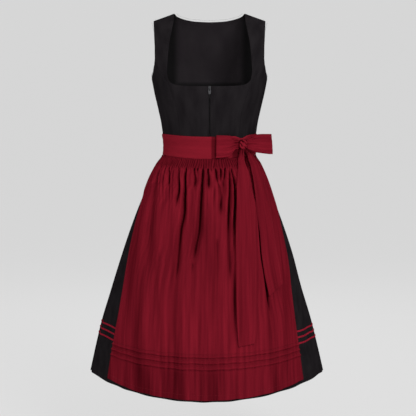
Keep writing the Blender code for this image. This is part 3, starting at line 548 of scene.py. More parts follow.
def cloth_map(tree, **place):
    """Coordinates on the cloth map, in metres, scaled or turned."""
    source = add_node(tree, "ShaderNodeUVMap", uv_map="cloth")
    return add_node(tree, "ShaderNodeMapping", Vector=source.outputs["UV"], **place).outputs[0]


def uneven(tree, scale, detail, **place):
    """Height or share of an uneven noise."""
    return add_node(tree, "ShaderNodeTexNoise", Scale=scale, Detail=detail, **place).outputs["Fac"]


def shades_of(tree, share, colours, ends=(0.0, 1.0), fold=None):
    """Colour between two shades, which goes over to the fold colour where shade is painted into
    folds and shadows.
    """
    ramp = add_node(tree, "ShaderNodeValToRGB", Fac=share)
    for element, end, colour in zip(ramp.color_ramp.elements, ends, colours):
        element.position = end
        element.color = (*colour, 1.0)
    if not fold:
        return ramp.outputs["Color"]
    painted_fold_shade = add_node(tree, "ShaderNodeAttribute", attribute_name="painted_fold_shade")
    return add_node(tree, "ShaderNodeMixRGB", Fac=painted_fold_shade.outputs["Fac"], Color2=(*fold, 1.0),
                    Color1=ramp.outputs["Color"]).outputs["Color"]


def threads(tree, pitch, slant):
    """Height of a plain weave: two sets of bands that cross, a pitch apart."""
    place = cloth_map(tree, Rotation=(0.0, 0.0, slant))
    bands = [add_node(tree, "ShaderNodeTexWave", wave_type="BANDS", bands_direction=direction,
                      Scale=0.314 / pitch, Distortion=0.6, Detail=1.0, Vector=place)
             for direction in ("X", "Y")]
    cross = add_node(tree, "ShaderNodeMath", operation="MULTIPLY")
    for band, end in zip(bands, cross.inputs):
        tree.links.new(band.outputs["Fac"], end)
    return cross.outputs["Value"]


def finish_shader(tree, shader, colour, heights):
    """Links a colour, and bumps: each a height, a depth in metres and a strength."""
    if colour:
        tree.links.new(colour, shader.inputs["Base Color"])
    normal = {}
    for height, distance, strength in heights:
        bump = add_node(tree, "ShaderNodeBump", Strength=strength, Distance=distance,
                        Height=height, **normal)
        normal = {"Normal": bump.outputs["Normal"]}
    tree.links.new(normal["Normal"], shader.inputs["Normal"])


# Woven finishes: slot, material's name, its plain colour, roughness and specular; patches of
# colour (how the map is stretched, scale, two shades) and the dark colour of the painted shade
# in folds and shadows; threads (pitch, slant, depth, strength); streaks (how the map is
# stretched, scale, strength)
TAFFETA = ((0.128, 0.0056, 0.0125), (0.188, 0.0086, 0.018))
# Painted light: the sash's taffeta is given lighter shades than the apron's, where the band
# catches more light
LIT_SASH_TAFFETA = ((0.176, 0.0084, 0.0172), (0.208, 0.01, 0.02))
# dark red of the painted shade in the taffeta's folds and shadows
RED_PAINTED_SHADE = (0.012, 0.0003, 0.0008)
TAFFETA_WEAVE = (0.0004, 0.0, 0.00015, 0.25)
WOVEN = {
    "black_cloth": (    # matt black cotton with a close plain weave
        "black_cloth", "black_cotton", (0.009, 0.0078, 0.0084), 0.92, 0.0,
        (1.0, 0.5), 46.0, ((0.0104, 0.0088, 0.01), (0.0162, 0.014, 0.0154)), None,
        (0.0006, 0.0, 0.0002, 0.35), ((1.0, 0.3), 300.0, 0.25)),
    "black_lining": (   # smooth lining on the inside of the back
        "black_cloth", "black_lining", (0.019, 0.015, 0.0175), 0.7, 0.1,
        (1.0, 0.4), 40.0, ((0.0165, 0.013, 0.0155), (0.0215, 0.0175, 0.02)),
        (0.0026, 0.0022, 0.0025), (0.0004, 0.0, 0.0001, 0.25), None),
    "red_satin": (      # crimson taffeta with soft slubs along the warp
        "red_satin", "red_taffeta", TAFFETA[0], 0.5, 0.0, (1.0, 0.05), 110.0, TAFFETA,
        RED_PAINTED_SHADE, TAFFETA_WEAVE, ((1.0, 0.05), 420.0, 0.2)),
    "red_sash_painted_light": (       # the same taffeta cut along the sash, in lighter shades painted for the light that the band catches
        "red_satin", "red_taffeta_sash_painted_light", LIT_SASH_TAFFETA[0], 0.5, 0.0, (0.05, 1.0), 110.0,
        LIT_SASH_TAFFETA, RED_PAINTED_SHADE, TAFFETA_WEAVE, ((0.05, 1.0), 420.0, 0.2)),
    "red_ribbon": (     # brighter red satin ribbon
        "red_ribbon", "red_ribbon", (0.3, 0.016, 0.032), 0.45, 0.0,
        (1.0, 1.0), 90.0, ((0.225, 0.0085, 0.021), (0.295, 0.0125, 0.029)), None,
        (0.0005, 0.0, 0.00015, 0.3), None),
    "zip_tape": (       # woven herringbone tape
        "zip_tape", "zip_tape", (0.005, 0.0045, 0.005), 0.85, 0.08,
        (1.0, 1.0), 200.0, ((0.0036, 0.0034, 0.0038), (0.0062, 0.0058, 0.0064)), None,
        (0.0008, math.radians(45), 0.0002, 0.5), None),
}
# Plain finishes: slot, colour, roughness, specular, and the scale and strength of the noise
# that roughens them
PLAIN = {
    "black_thread": ("black_cloth", (0.0105, 0.0095, 0.01), 0.6, 0.15, 2400.0, 0.4),
    "red_thread": ("red_satin", (0.165, 0.0055, 0.014), 0.55, 0.15, 2400.0, 0.4),
    "zip_nylon": ("zip_tape", (0.006, 0.0055, 0.006), 0.4, 0.2, 900.0, 0.2),
}


@lru_cache(maxsize=None)
def material(finish):
    """Material of a finish in the two tables, made once."""
    if finish in PLAIN:
        _, colour, roughness, specular, scale, strength = PLAIN[finish]
        made, tree, shader = new_material(finish, colour, roughness, specular)
        finish_shader(tree, shader, None, [(uneven(tree, scale, 2.0), 0.0001, strength)])
        return made
    (_, name, plain, roughness, specular, stretch, scale, colours, fold, weave,
     streaks) = WOVEN[finish]
    made, tree, shader = new_material(name, plain, roughness, specular)
    patches = uneven(tree, scale, 3.0, Vector=cloth_map(tree, Scale=(*stretch, 1.0)))
    heights = [(threads(tree, *weave[:2]), *weave[2:])]
    if streaks:
        stretch, scale, strength = streaks
        grain = uneven(tree, scale, 4.0, Vector=cloth_map(tree, Scale=(*stretch, 1.0)))
        heights.append((grain, 0.0003, strength))
    finish_shader(tree, shader, shades_of(tree, patches, colours, (0.32, 0.68), fold), heights)
    return made


@lru_cache(maxsize=None)
def zip_metal():
    """Grey metal of the slider and its pull tab, with fine handling marks."""
    made, tree, shader = new_material("zip_metal", (0.055, 0.055, 0.058), 0.5, 0.5, 0.7)
    marks = uneven(tree, 1500.0, 6.0)
    colour = shades_of(tree, marks, ((0.042, 0.042, 0.045), (0.07, 0.07, 0.074)))
    finish_shader(tree, shader, colour, [(marks, 0.0001, 0.15)])
    return made


# Sewing

STITCH_LENGTH = 0.0024
STITCH_PITCH = 0.0032
STITCH_WIDTH = 0.00045
STITCH_SIDES = 6
# Rings of a stitch: share of the length, girth, and rise in widths
STITCH_RINGS = ((-0.5, 0.35, -0.25), (-0.3, 1.0, 0.2), (0.3, 1.0, 0.2), (0.5, 0.35, -0.25))


def stitch_row(points, normals):
    """Places of the stitches along a line: middle, direction and outward normal."""
    places = []
    travelled, due = 0.0, STITCH_PITCH / 2
    for a, b, out in zip(points, points[1:], normals):
        run = (b - a).length
        while run > 0 and due <= travelled + run:
            places.append((a.lerp(b, (due - travelled) / run), (b - a).normalized(), out))
            due += STITCH_PITCH
        travelled += run
    return places


def sewing(name, lines, finish):
    """One piece of thread for several lines of points and normals: short round stitches
    that dip into the cloth at both ends."""
    shape = bmesh.new()
    around = [math.tau * k / STITCH_SIDES for k in range(STITCH_SIDES)]
    for points, normals in lines:
        for middle, along, out in stitch_row(points, normals):
            side = along.cross(out).normalized()
            rings = []
            for share, girth, rise in STITCH_RINGS:
                centre = middle + along * (share * STITCH_LENGTH) + out * (rise * STITCH_WIDTH)
                rings.append([centre + (side * math.cos(turn) + out * math.sin(turn)) *
                              (girth * STITCH_WIDTH / 2) for turn in around])
            add_bar(shape, rings)
    return piece(name, closed_mesh(name, shape), finish)


def grid_line(rows, index=None, column=None):
    """A row or a column of a grid, with the outward normal at each point."""
    last = len(rows) - 1
    points, normals = [], []
    spots = [(index, j) for j in range(len(rows[0]))] if column is None else \
            [(i, column) for i in range(len(rows))]
    for i, j in spots:
        i, j = min(max(i, 0), last), min(max(j, 0), len(rows[0]) - 1)
        above, below = rows[max(i - 1, 0)][j], rows[min(i + 1, last)][j]
        left, right = rows[i][max(j - 1, 0)], rows[i][min(j + 1, len(rows[0]) - 1)]
        points.append(rows[i][j])
        normals.append((right - left).cross(above - below).normalized())
    return points, normals


# Bodice

MAP_RADIUS = 0.13         # the flat map's width for each radian
MAP_DEPTH = 0.57          # and its height at one metre below the shoulders
SIDE_SEAM = SEWN / 2 / 0.12
PANEL_STEP = 0.0045       # spacing of the points inside a bodice panel
EDGE_HEM = 0.006          # the stitching of the neckline and armholes lies this far in
ZIP_STITCH = (-0.0075, 0.0125)  # rows of stitching beside the zip, from the centre
ZIP_STITCH_TOP = -0.195
ZIP_STITCH_FOOT = -0.335


def spread(key):
    """Place of an angle and row on the flat map where panels are meshed."""
    angle, row = key
    return Vector((MAP_RADIUS * angle, -MAP_DEPTH * math.sqrt(max(-row, 0.0))))


def unspread(spot):
    return spot[0] / MAP_RADIUS, -(spot[1] / MAP_DEPTH) ** 2


def resample(keys, step=PANEL_STEP):
    """Even points along an edge on the flat map, with its ends kept."""
    spots = [spread(key) for key in keys]
    lengths = [0.0]
    for a, b in zip(spots, spots[1:]):
        lengths.append(lengths[-1] + (b - a).length)
    read = smooth_table([(s, p[0], p[1]) for s, p in zip(lengths, spots)])
    count = max(round(lengths[-1] / step), 1)
    return [unspread(read(lengths[-1] * i / count)) for i in range(count + 1)]


def bodice_edge(points, back=False):
    """Bodice edge given by x and height, as angles and rows."""
    angles = [angle_at(x, row) for x, row in points]
    rows = [row for _, row in points]
    return resample([(math.pi - a if back else a, row) for a, row in zip(angles, rows)])


def shoulder_edge(back=False):
    """Shoulder seam from the neck point to the outer end, sloping evenly."""
    edge = []
    count = 14
    for i in range(count + 1):
        x = NECK_HALF + (TIP_HALF - NECK_HALF) * i / count
        angle = angle_at(x, -shoulder_fall(x))
        edge.append((math.pi - angle if back else angle, -shoulder_fall(x)))
    return edge


def inside(spot, outline):
    odd = False
    for a, b in zip(outline, outline[1:] + outline[:1]):
        if (a[1] > spot[1]) != (b[1] > spot[1]):
            if spot[0] < a[0] + (spot[1] - a[1]) / (b[1] - a[1]) * (b[0] - a[0]):
                odd = not odd
    return odd


def bodice_detail(angle, row):
    """Small unevenness of worn cotton: soft drag lines towards the bust and waist."""
    point = bodice(angle, row)
    pull = drift(point.x * 18, row * 26, 1) * 0.0006
    waist = blend(-0.25, -0.32, row) * 0.0005 * math.sin(58 * angle + 6 * drift(angle, row * 9, 2))
    return min(pull + waist, 0.0006)


def bodice_panel(name, edges, node):
    """Panel of the bodice inside a closed run of edges, each a list of angle and row."""
    keys = []
    for edge in edges:
        keys += edge[:-1]
    outline = [spread(key) for key in keys]
    near = KDTree(len(outline))
    for i, spot in enumerate(outline):
        near.insert(spot.to_3d(), i)
    near.balance()
    low = [min(p[i] for p in outline) for i in range(2)]
    high = [max(p[i] for p in outline) for i in range(2)]
    spots = list(outline)
    for i in range(int((high[1] - low[1]) / PANEL_STEP) + 1):
        for j in range(int((high[0] - low[0]) / PANEL_STEP) + 2):
            spot = Vector((low[0] + (j + 0.5 * (i % 2)) * PANEL_STEP, low[1] + i * PANEL_STEP))
            if near.find(spot.to_3d())[2] > 0.7 * PANEL_STEP and inside(spot, outline):
                spots.append(spot)
    found = delaunay_2d_cdt(spots, [], [list(range(len(outline)))], 1, 1e-7)
    points = []
    for spot in found[0]:
        key = unspread(spot)
        settle = bodice_detail(*key) * blend(0.0, 0.012, near.find(spot.to_3d())[2])
        points.append(bodice(*key) + bodice_normal(*key) * settle)
    mesh = new_mesh(name, points, [tuple(face) for face in found[2]])
    add_uv_map(mesh, [tuple(spot) for spot in found[0]])
    return thicken(piece(name, mesh, "black_cloth", (node,)), COTTON, 0.45)


def moved_round(keys, gap):
    """Edge moved round the body by a gap."""
    return [(angle + gap / MAP_RADIUS, row) for angle, row in keys]


def reversed_edges(edges):
    """The same closed run of edges, walked the other way."""
    return [list(reversed(edge)) for edge in reversed(edges)]


def mirrored(edges):
    """The same panel on the other side of the centre plane."""
    return reversed_edges([[(-angle, row) for angle, row in edge] for edge in edges])


def inset_line(keys, distance, side):
    """Line on the bodice beside an edge: points and normals, side is 1 or -1."""
    points = [bodice(*key) for key in keys]
    normals = [bodice_normal(*key) for key in keys]
    line = []
    for i, point in enumerate(points):
        along = points[min(i + 1, len(points) - 1)] - points[max(i - 1, 0)]
        line.append(point + along.normalized().cross(normals[i]) * distance * side)
    return line, normals


def lining_shade(place):
    """Painted shadow on the lining: darker beside the straps and just below the neckline's edge,
    where the fronts shade it.
    """
    return max(blend(0.076, 0.098, abs(place.x)), blend(-0.171, -0.181, place.z))


def build_bodice():
    """Two fronts with their straps, two side fronts and the back, and their sewing."""
    far = math.pi / 2 - SIDE_SEAM
    centre = angle_at(ZIP_GAP / 2, WAIST)
    neckline = bodice_edge(NECKLINE)
    seam = bodice_edge(PRINCESS_SEAM)
    inner_seam, outer_seam = moved_round(seam, -SEAM / 2), moved_round(seam, SEAM / 2)
    armhole = bodice_edge(FRONT_ARMHOLE)[:-1] + [inner_seam[0]]
    front = [neckline, shoulder_edge(), armhole, inner_seam,
             resample([(inner_seam[-1][0], WAIST), (centre, WAIST)]),
             resample([(centre, WAIST), neckline[0]])]
    under = [outer_seam[0]] + bodice_edge(SIDE_ARMHOLE)[1:] + [(far, ARMHOLE_FOOT)]
    side_front = [under, resample([(far, ARMHOLE_FOOT), (far, WAIST)]),
                  resample([(far, WAIST), (outer_seam[-1][0], WAIST)]),
                  list(reversed(outer_seam))]
    for word, edges, flat, area in (("front", front, (0.15, 0.37), 0.0228),
                                    ("side", side_front, (0.1, 0.225), None)):
        for hand, run in (("right", reversed_edges(edges)),
                          ("left", reversed_edges(mirrored(edges)))):
            node = f"bodice_{word}_{hand}"
            made = bodice_panel(f"cotton_{word}_{hand}", run, node)
    near = math.pi / 2 + SIDE_SEAM
    back_neck = bodice_edge(BACK_NECKLINE, back=True)
    back_arm = [(near, ARMHOLE_FOOT)] + bodice_edge(BACK_ARMHOLE, back=True)
    shoulder = list(reversed(shoulder_edge(back=True)))
    right = [resample([(near, WAIST), (near, ARMHOLE_FOOT)]), back_arm, shoulder, back_neck]
    left = [[(math.tau - angle, row) for angle, row in reversed(edge)]
            for edge in reversed(right)]
    foot = resample([(math.tau - near, WAIST), (near, WAIST)])
    back = bodice_panel("cotton_back", reversed_edges(right + left + [foot]), "bodice_back")
    back.data.materials.append(material("black_lining"))
    back.modifiers["thickness"].material_offset = 1
    add_painted_shade(back.data, [lining_shade(vert.co) for vert in back.data.vertices])
    stitch_bodice(neckline, armhole, under, back_neck, back_arm)


def stitch_bodice(neckline, armhole, under, back_neck, back_arm):
    """Topstitching round the neckline and armholes, and on both sides of the zip."""
    lines = []
    for edge, side in ((neckline, 1), (armhole, 1), (under, 1), (back_neck, -1),
                       (back_arm, -1)):
        for hand in (1, -1):
            keys = [(hand * angle, row) for angle, row in edge]
            lines.append(inset_line(keys, EDGE_HEM, side * hand))
    for offset in ZIP_STITCH:
        heights = [ZIP_STITCH_TOP + (ZIP_STITCH_FOOT - ZIP_STITCH_TOP) * i / 60 for i in range(61)]
        keys = [(angle_at(offset, row), row) for row in heights]
        lines.append(([bodice(*key) for key in keys], [bodice_normal(*key) for key in keys]))
    sewing("bodice_stitches", lines, "black_thread")


# Skirt

HEM_STITCH = 0.012        # the hem is sewn this far above its edge

skirt_folds = smooth_table(SKIRT_FOLDS)


def fold_phase(angle):
    """Count of folds passed, walking round from the centre front, unevenly spaced."""
    sway = 0.26 * math.sin(3 * angle + 0.6) + 0.1 * math.sin(8 * angle)
    return FOLDS * angle / math.tau + sway


def skirt_point(angle, row, out):
    """Point of the skirt: folds and gathers inside its section, fine puckers at the waist."""
    folds, gathers = skirt_folds(row)
    turns = fold_phase(angle)
    phase = math.tau * turns
    uneven = 0.72 + 0.2 * math.sin(3 * angle + 1.0) + 0.08 * math.sin(7 * angle)
    inward = folds * uneven * (0.5 - 0.5 * math.cos(phase))
    inward += gathers * (0.5 - 0.5 * math.cos(2 * phase))
    pucker = blend(-0.52, -0.385, row) * 0.0016
    inward += pucker * (0.5 + 0.5 * math.sin(5 * phase + 3.0 * drift(turns * 1.7, row * 7, 3)))
    inward += 0.0005 + 0.0005 * drift(turns * 3.1, row * 6, 4)
    return body(angle, row, out - inward)


def ribbon_point(angle, row, out):
    """Point of a ribbon, which runs a little lower towards the viewer's right."""
    return skirt_point(angle, row - RIBBON_FALL * (0.5 + 0.5 * math.sin(angle)), out)


def seamed(point, front):
    """Keeps a panel half a seam gap short of the side seams' plane."""
    point.y = min(point.y, -SEWN / 2) if front else max(point.y, SEWN / 2)
    return point


def skirt_angles(start, end):
    columns = round(264 * FINE)
    return [start + (end - start) * j / columns for j in range(columns + 1)]


def build_skirt():
    """Front and back panels, their hems, and the ribbons sewn round above the hem."""
    rows = grid_rows((WAIST - SEAM, 0.003), (-0.42, 0.005), (-0.54, 0.0085), (-0.798, 0.0023),
                     (-0.848, 0.006), (HEM, None))
    hem_lines, ribbon_lines = [], []
    for word, start, end in (("front", -0.5, 0.5), ("back", 0.5, 1.5)):
        front = word == "front"
        angles = skirt_angles(start * math.pi, end * math.pi)
        grid = [[seamed(skirt_point(a, r, 0.0), front) for a in angles] for r in rows]
        panel = cloth_grid(f"cotton_skirt_{word}", grid, "black_cloth", COTTON,
                           (f"skirt_{word}",))
        for place, row in RIBBON_ROWS:
            lines = [row + RIBBON_WIDTH * (0.5 - i / 4) for i in range(5)]
            outs = [RIBBON_GAP + RIBBON * (1.4 - abs(i - 2) * 0.1) for i in range(5)]
            band = [[seamed(ribbon_point(a, r, out), front) for a in angles]
                    for r, out in zip(lines, outs)]
            ribbon = cloth_grid(f"ribbon_{place}_{word}", band, "red_ribbon", RIBBON,
                                (f"hem_ribbon_{place}_{word}",))
            ribbon_lines.append(grid_line(band, index=2))
        hem = [[seamed(skirt_point(a, HEM + rise, 0.0), front) for a in angles]
               for rise in (HEM_STITCH, HEM_STITCH - 0.002)]
        hem_lines.append(grid_line(hem, index=0))
    sewing("skirt_stitches", hem_lines, "black_thread")
    sewing("ribbon_stitches", ribbon_lines, "red_thread")


# Apron

apron_edges = smooth_table(APRON_EDGES)
apron_folds = smooth_table(APRON_FOLDS)
apron_drops = [(smooth_table(path), path[0][0], path[-1][0], width, depth)
               for path, width, depth in APRON_DROPS]
GAP_DROP = 6              # the one between the tie ends
APRON_HALF = 0.2          # half the apron's width, to space its puckers and gathers
HEADER_PITCH = 0.0052     # spacing and depth of the fine puckers under the waistband,
HEADER_DEPTH = 0.0015
GATHER_PITCH = 0.015      # of the gathers that drop from them,
GATHER_DEPTH = 0.003
CREASE_PITCH = 0.0085     # and of the fine creases between these
CREASE_DEPTH = 0.0013
TUCK_HEIGHT = 0.0026      # height of a pintuck, its softness above and below, and the
TUCK_SOFT = (0.0024, 0.0012)  # place and depth of the seam above it
TUCK_SEAM = (0.0052, 0.0007)
TUCK_WANDER = 0.0006
HEADER_SHADE = (0.23, 0.6)  # the crowded puckers shade one another: all over, in troughs
GAP_SHADE = 0.9           # dark slit between the tie ends, in the shadow of the knot
STREAK_SHADE = 0.42       # soft upright streaks where the taffeta turns from the light


def apron_angle(across, row):
    left, right = apron_edges(row)
    return math.radians(right if across > 0 else left) * across


@lru_cache(maxsize=1024)
def apron_reach(row):
    """Half the apron's arc in metres at a row, to measure creases in real sizes."""
    half, front, _, _, _, _, _, _ = section(row)
    return 0.62 * (half + front) * math.radians(apron_edges(row)[0])


def drop_troughs(across, row, reach):
    """Depth of the long creases that hang from the header."""
    depth = 0.0
    for read, top, foot, width, deep in apron_drops:
        if not foot < row < top:
            continue
        t = (top - row) / (top - foot)
        wide = width * (1 + 2.8 * t)
        gone = (across - read(row)[0]) * reach / wide
        if abs(gone) < 4:
            fade = window(-0.02, 0.05, 0.62, 1.0, t) * (1 + 0.9 * t)
            trough = math.exp(-gone * gone)
            ridge = math.exp(-(gone - 2) ** 2) + math.exp(-(gone + 2) ** 2)
            depth += deep * fade * (trough - 0.16 * ridge)
    return depth


def header_wave(metres, row):
    turn = metres / HEADER_PITCH + 0.8 * drift(metres * 60, row * 25, 5)
    return math.sin(math.tau * turn)


def apron_shade(across, row):
    """Shade of the apron's cloth beyond that of its folds."""
    metres, reach = across * APRON_HALF, apron_reach(row)
    crowd, trough = HEADER_SHADE
    low = max(-header_wave(metres, row), 0.0) ** 1.5
    shade = (crowd + trough * low) * (1 - blend(-0.384, -0.396, row))
    path, top, foot, _, _ = apron_drops[GAP_DROP]
    if row > foot - 0.02:
        half = 0.0022 + 0.004 * (1 - blend(-0.385, -0.415, row))
        slit = math.exp(-((across - path(row)[0]) * reach / half) ** 4)
        shade = max(shade, GAP_SHADE * slit * (1 - blend(foot + 0.03, foot - 0.015, row)))
    real = across * reach
    streak = (1.3 * drift(real * 25 + 1.5 * row, row * 3.0, 17)
              + 0.45 * drift(real * 75, row * 5, 18))
    streak += 0.3 * drift(real * 190, row * 12, 19)
    below = blend(-0.868, -0.876, row)
    streaks = STREAK_SHADE * max(streak + 0.12, 0.0) * blend(-0.44, -0.54, row)
    # Painted shade: darker towards the apron's right side, and a painted shadow beside the top of
    # the long tie's left edge
    shade = max(shade, 0.14 * blend(0.5, 0.6, across) * (1 - 0.8 * blend(-0.68, -0.74, row)))
    side = 0.5 * window(0.385, 0.425, 0.46, 0.49, across)
    shade = max(shade, side * (1 - blend(-0.385, -0.425, row)))
    return max(shade, streaks * (1 + 0.5 * below) + 0.09 * below + tuck_shade(row, real))


def gathers(across, row):
    """Puckers of the header, which open into gathers and die out down the apron."""
    metres = across * APRON_HALF
    height = HEADER_DEPTH * (1 - blend(-0.386, -0.402, row)) * header_wave(metres, row)
    strength = window(-0.38, -0.396, -0.41, -0.6, row)
    turn = metres / GATHER_PITCH + 1.1 * drift(metres * 26, row * 2.2, 6)
    lobe = abs(math.sin(math.pi * turn)) ** 0.7
    length = 0.55 + 0.75 * drift(metres * 40, 0.5, 7)
    height += GATHER_DEPTH * strength * max(length, 0.15) * (lobe - 0.6)
    fine = window(-0.38, -0.4, -0.4, -0.56, row)
    turn = metres / CREASE_PITCH + 0.9 * drift(metres * 45, row * 4, 8)
    return height + CREASE_DEPTH * fine * math.sin(math.tau * turn)


def crinkle(across, row, reach):
    """Fine upright crinkles of taffeta, stronger just above and below the tucks."""
    metres = across * reach
    fine = drift(metres * 150, row * 9, 9) * 0.00045
    soft = drift(metres * 55, row * 4.5, 10) * 0.0012
    low = bell(row + 0.893, 0.022) + 0.6 * bell(row + 0.822, 0.02)
    crisp = low * 0.0011 * drift(metres * 120, row * 12, 11)
    return (fine + soft) * blend(-0.39, -0.44, row) + crisp


def near_tucks(row, metres):
    """Number of each tuck that is near, and how far above it the point lies."""
    for k, tuck in enumerate(PINTUCK_ROWS):
        gone = row - (tuck + TUCK_WANDER * drift(metres * 38, k * 3.0, 12))
        if abs(gone) < 0.012:
            yield k, gone


def tuck_profile(row, metres):
    """Raised pintucks, each a soft fold pressed down with a sewn step above it."""
    height = 0.0
    for k, gone in near_tucks(row, metres):
        pucker = 1 + 0.45 * drift(metres * 130, k * 2.0, 13)
        fold = TUCK_HEIGHT * bell(gone, TUCK_SOFT[gone <= 0])
        height += fold * pucker - TUCK_SEAM[1] * bell(gone - TUCK_SEAM[0], 0.001)
    return height


def tuck_shade(row, metres):
    """Shade between the tucks, with a puckered shadow under each of them."""
    shade = 0.1 * window(-0.874, -0.87, -0.836, -0.832, row)
    for k, gone in near_tucks(row, metres):
        puckered = 0.55 + 0.9 * drift(metres * 230, k * 5.0, 33)
        shade += 0.42 * puckered * bell(gone + 0.0028, 0.0014) - 0.1 * bell(gone - 0.0006, 0.002)
    return shade


def apron_lift(across, row):
    """How far the apron's outside stands off the skirt's section."""
    rise, _, folds = apron_folds(row)
    reach = apron_reach(row)
    down = (APRON_FOLDS[0][0] - row) / (APRON_FOLDS[0][0] - APRON_HEM)
    trough = 0.0
    for top, foot, width, share in APRON_CREASES:
        trough += share * bell(across - (top + (foot - top) * down), width)
    lift = rise + 0.0014 * blend(-0.37, -0.4, row) + folds * (1 - min(trough, 1.0))
    lift += gathers(across, row) + crinkle(across, row, reach)
    lift -= drop_troughs(across, row, reach)
    settled = 1 - EDGE_SETTLE * blend(0.55, 1.0, abs(across))
    floor = 0.0006 + (APRON_CLEAR - 0.0006) * blend(-0.376, -0.42, row)
    lift = floor + (lift - floor) * settled
    lift = floor + 0.5 * (lift - floor + math.hypot(lift - floor, 0.0008))
    return lift + tuck_profile(row, across * reach) + SEAM + SATIN


def apron_point(across, row, out=0.0):
    """Point of the apron, whose hem hangs lower at the middle than at its corners."""
    drop = APRON_DROP * blend(PINTUCK_ROWS[-1] - TUCK_REACH, APRON_HEM, row)
    low = row - drop * (1 - across * across)
    return body(apron_angle(across, row), low, apron_lift(across, row) + out)


def build_apron():
    """Apron panel with its gathered header, tucks and hem, and its sewing."""
    rows = grid_rows((SASH_FOOT - SEAM, 0.0014), (-0.4, 0.0042), (-0.5, 0.0074),
                     (-0.828, 0.001), (-0.876, 0.0032), (APRON_HEM, None))
    columns = round(262 * FINE)
    across = [2 * j / columns - 1 for j in range(columns + 1)]
    grid = [[apron_point(a, r) for a in across] for r in rows]
    shade = [apron_shade(a, r) for r in rows for a in across]
    panel = cloth_grid("taffeta_apron", grid, "red_satin", SATIN, ("apron_panel",), shade=shade)
    lines = []
    for row in [tuck + 0.0046 for tuck in PINTUCK_ROWS] + [APRON_HEM + 0.01]:
        band = [[apron_point(a, r) for a in across] for r in (row + 0.0006, row, row - 0.0006)]
        lines.append(grid_line(band, index=1))
    inset = max(round(3 * FINE), 1)
    for column in (inset, columns - inset):
        lines.append(grid_line(grid, column=column))
    sewing("apron_stitches", lines, "red_thread")


# Sash and bow

KNOT_PULL = 0.0064        # the knot draws the band's upper edge down by this much
HEM_FOLD = 0.0004         # a sewn hem is this much thicker
# Depth of a loop's pleats, creases and softness
LOOP_DEPTHS = (0.001, 0.0021, 0.001)
LOOP_COLUMNS = 48


def sash_height(row):
    """Place up the sash: zero at its foot, one at its top."""
    return (row - SASH_FOOT) / (SASH_TOP - SASH_FOOT)


def sash_detail(angle, row):
    """Soft creases along the sash, and its rounded edges."""
    height = sash_height(row)
    along = drift(angle * 5, row * 110, 14) * 0.0007
    pull = 0.001 * bell(angle - 0.62, 0.3) * math.sin(math.tau * (2.2 * height + 0.3 * angle))
    slack = 0.0006 * math.sin(math.tau * 1.5 * height + 2 * drift(angle * 2, 0.3, 15))
    edge = -0.001 * (bell(height, 0.035) + bell(height - 1, 0.035))
    return max(along + pull + slack, -0.0006) + edge * 0.5


def sash_shade(angle, row):
    """Shadows on the band: beside the left loop's tip, under the loop by the knot, and
    in the slit between the tie ends."""
    height = sash_height(row)
    x = body(angle, row).x - KNOT_X
    beside = x + LEFT_REACH
    tip = window(-0.0115, -0.0095, 0.004, 0.012, beside)
    below = window(-0.027, -0.018, -0.004, 0.004, x) * (1 - blend(0.45, 0.75, height))
    slit = window(0.001, 0.003, 0.01, 0.013, x) * (1 - blend(0.28, 0.42, height))
    return max(0.55 * tip, 0.62 * below, 0.88 * slit)


def sash_dip(angle, row):
    """How far the knot draws the band's upper edge down."""
    return KNOT_PULL * sash_height(row) * bell(body(angle, row).x - KNOT_X - 0.001, 0.0115)


def build_sash():
    """Waistband in front and the sash that runs on round the back."""
    edge = math.radians(BAND_ANGLE)
    gap = SEAM / 0.1
    lines = []
    rows = [SASH_TOP + (SASH_FOOT - SASH_TOP) * i / 30 for i in range(31)]
    for name, node, start, end in (
            ("taffeta_band", "apron_band", -edge, edge),
            ("taffeta_sash_back", "apron_tie_back", edge + gap, math.tau - edge - gap)):
        angles = steps_between(start, end, 0.013)
        dip = sash_dip if node == "apron_band" else lambda a, r: 0.0
        grid = [[body(a, r - dip(a, r), SASH_OUT + sash_detail(a, r)) for a in angles]
                for r in rows]
        shade = [sash_shade(a, r) if node == "apron_band" else 0.0 for r in rows for a in angles]
        band = cloth_grid(name, grid, "red_sash_painted_light", SATIN, (node,), shade=shade)
        lines += [grid_line(grid, index=2), grid_line(grid, index=28)]
    sewing("sash_stitches", lines, "red_thread")


def front_row(x, z):
    """Row of the front at a given x and true height, where the front dips."""
    row = z
    for _ in range(4):
        dip = section(row)[4]
        row = z + dip * math.cos(angle_at(x, row)) ** 2
    return row


def over_apron(x, z, out):
    """Point outside the apron's highest folds, or outside the sash, at x and height."""
    row = front_row(x, z)
    rise, pleats, folds = apron_folds(row)
    tall = (rise + 0.6 * pleats + folds) * blend(SASH_FOOT + 0.004, SASH_FOOT - 0.02, row)
    return body(angle_at(x, row), row, SASH_OUT + tall + SEAM + out)


def tie_shade(s, t, even, seed):
    """Shade of a tie end: in all, in soft streaks, and along its edges under the knot."""
    head = 0.56 * (1 - blend(0.03, 0.17, s)) * (0.4 + 0.6 * abs(2 * t - 1) ** 1.5)
    even *= 1 - 0.8 * blend(0.45, 0.9, s)
    return max(even + 0.36 * max(drift(t * 3.2, s * 2.4, seed + 3), 0.0), head)


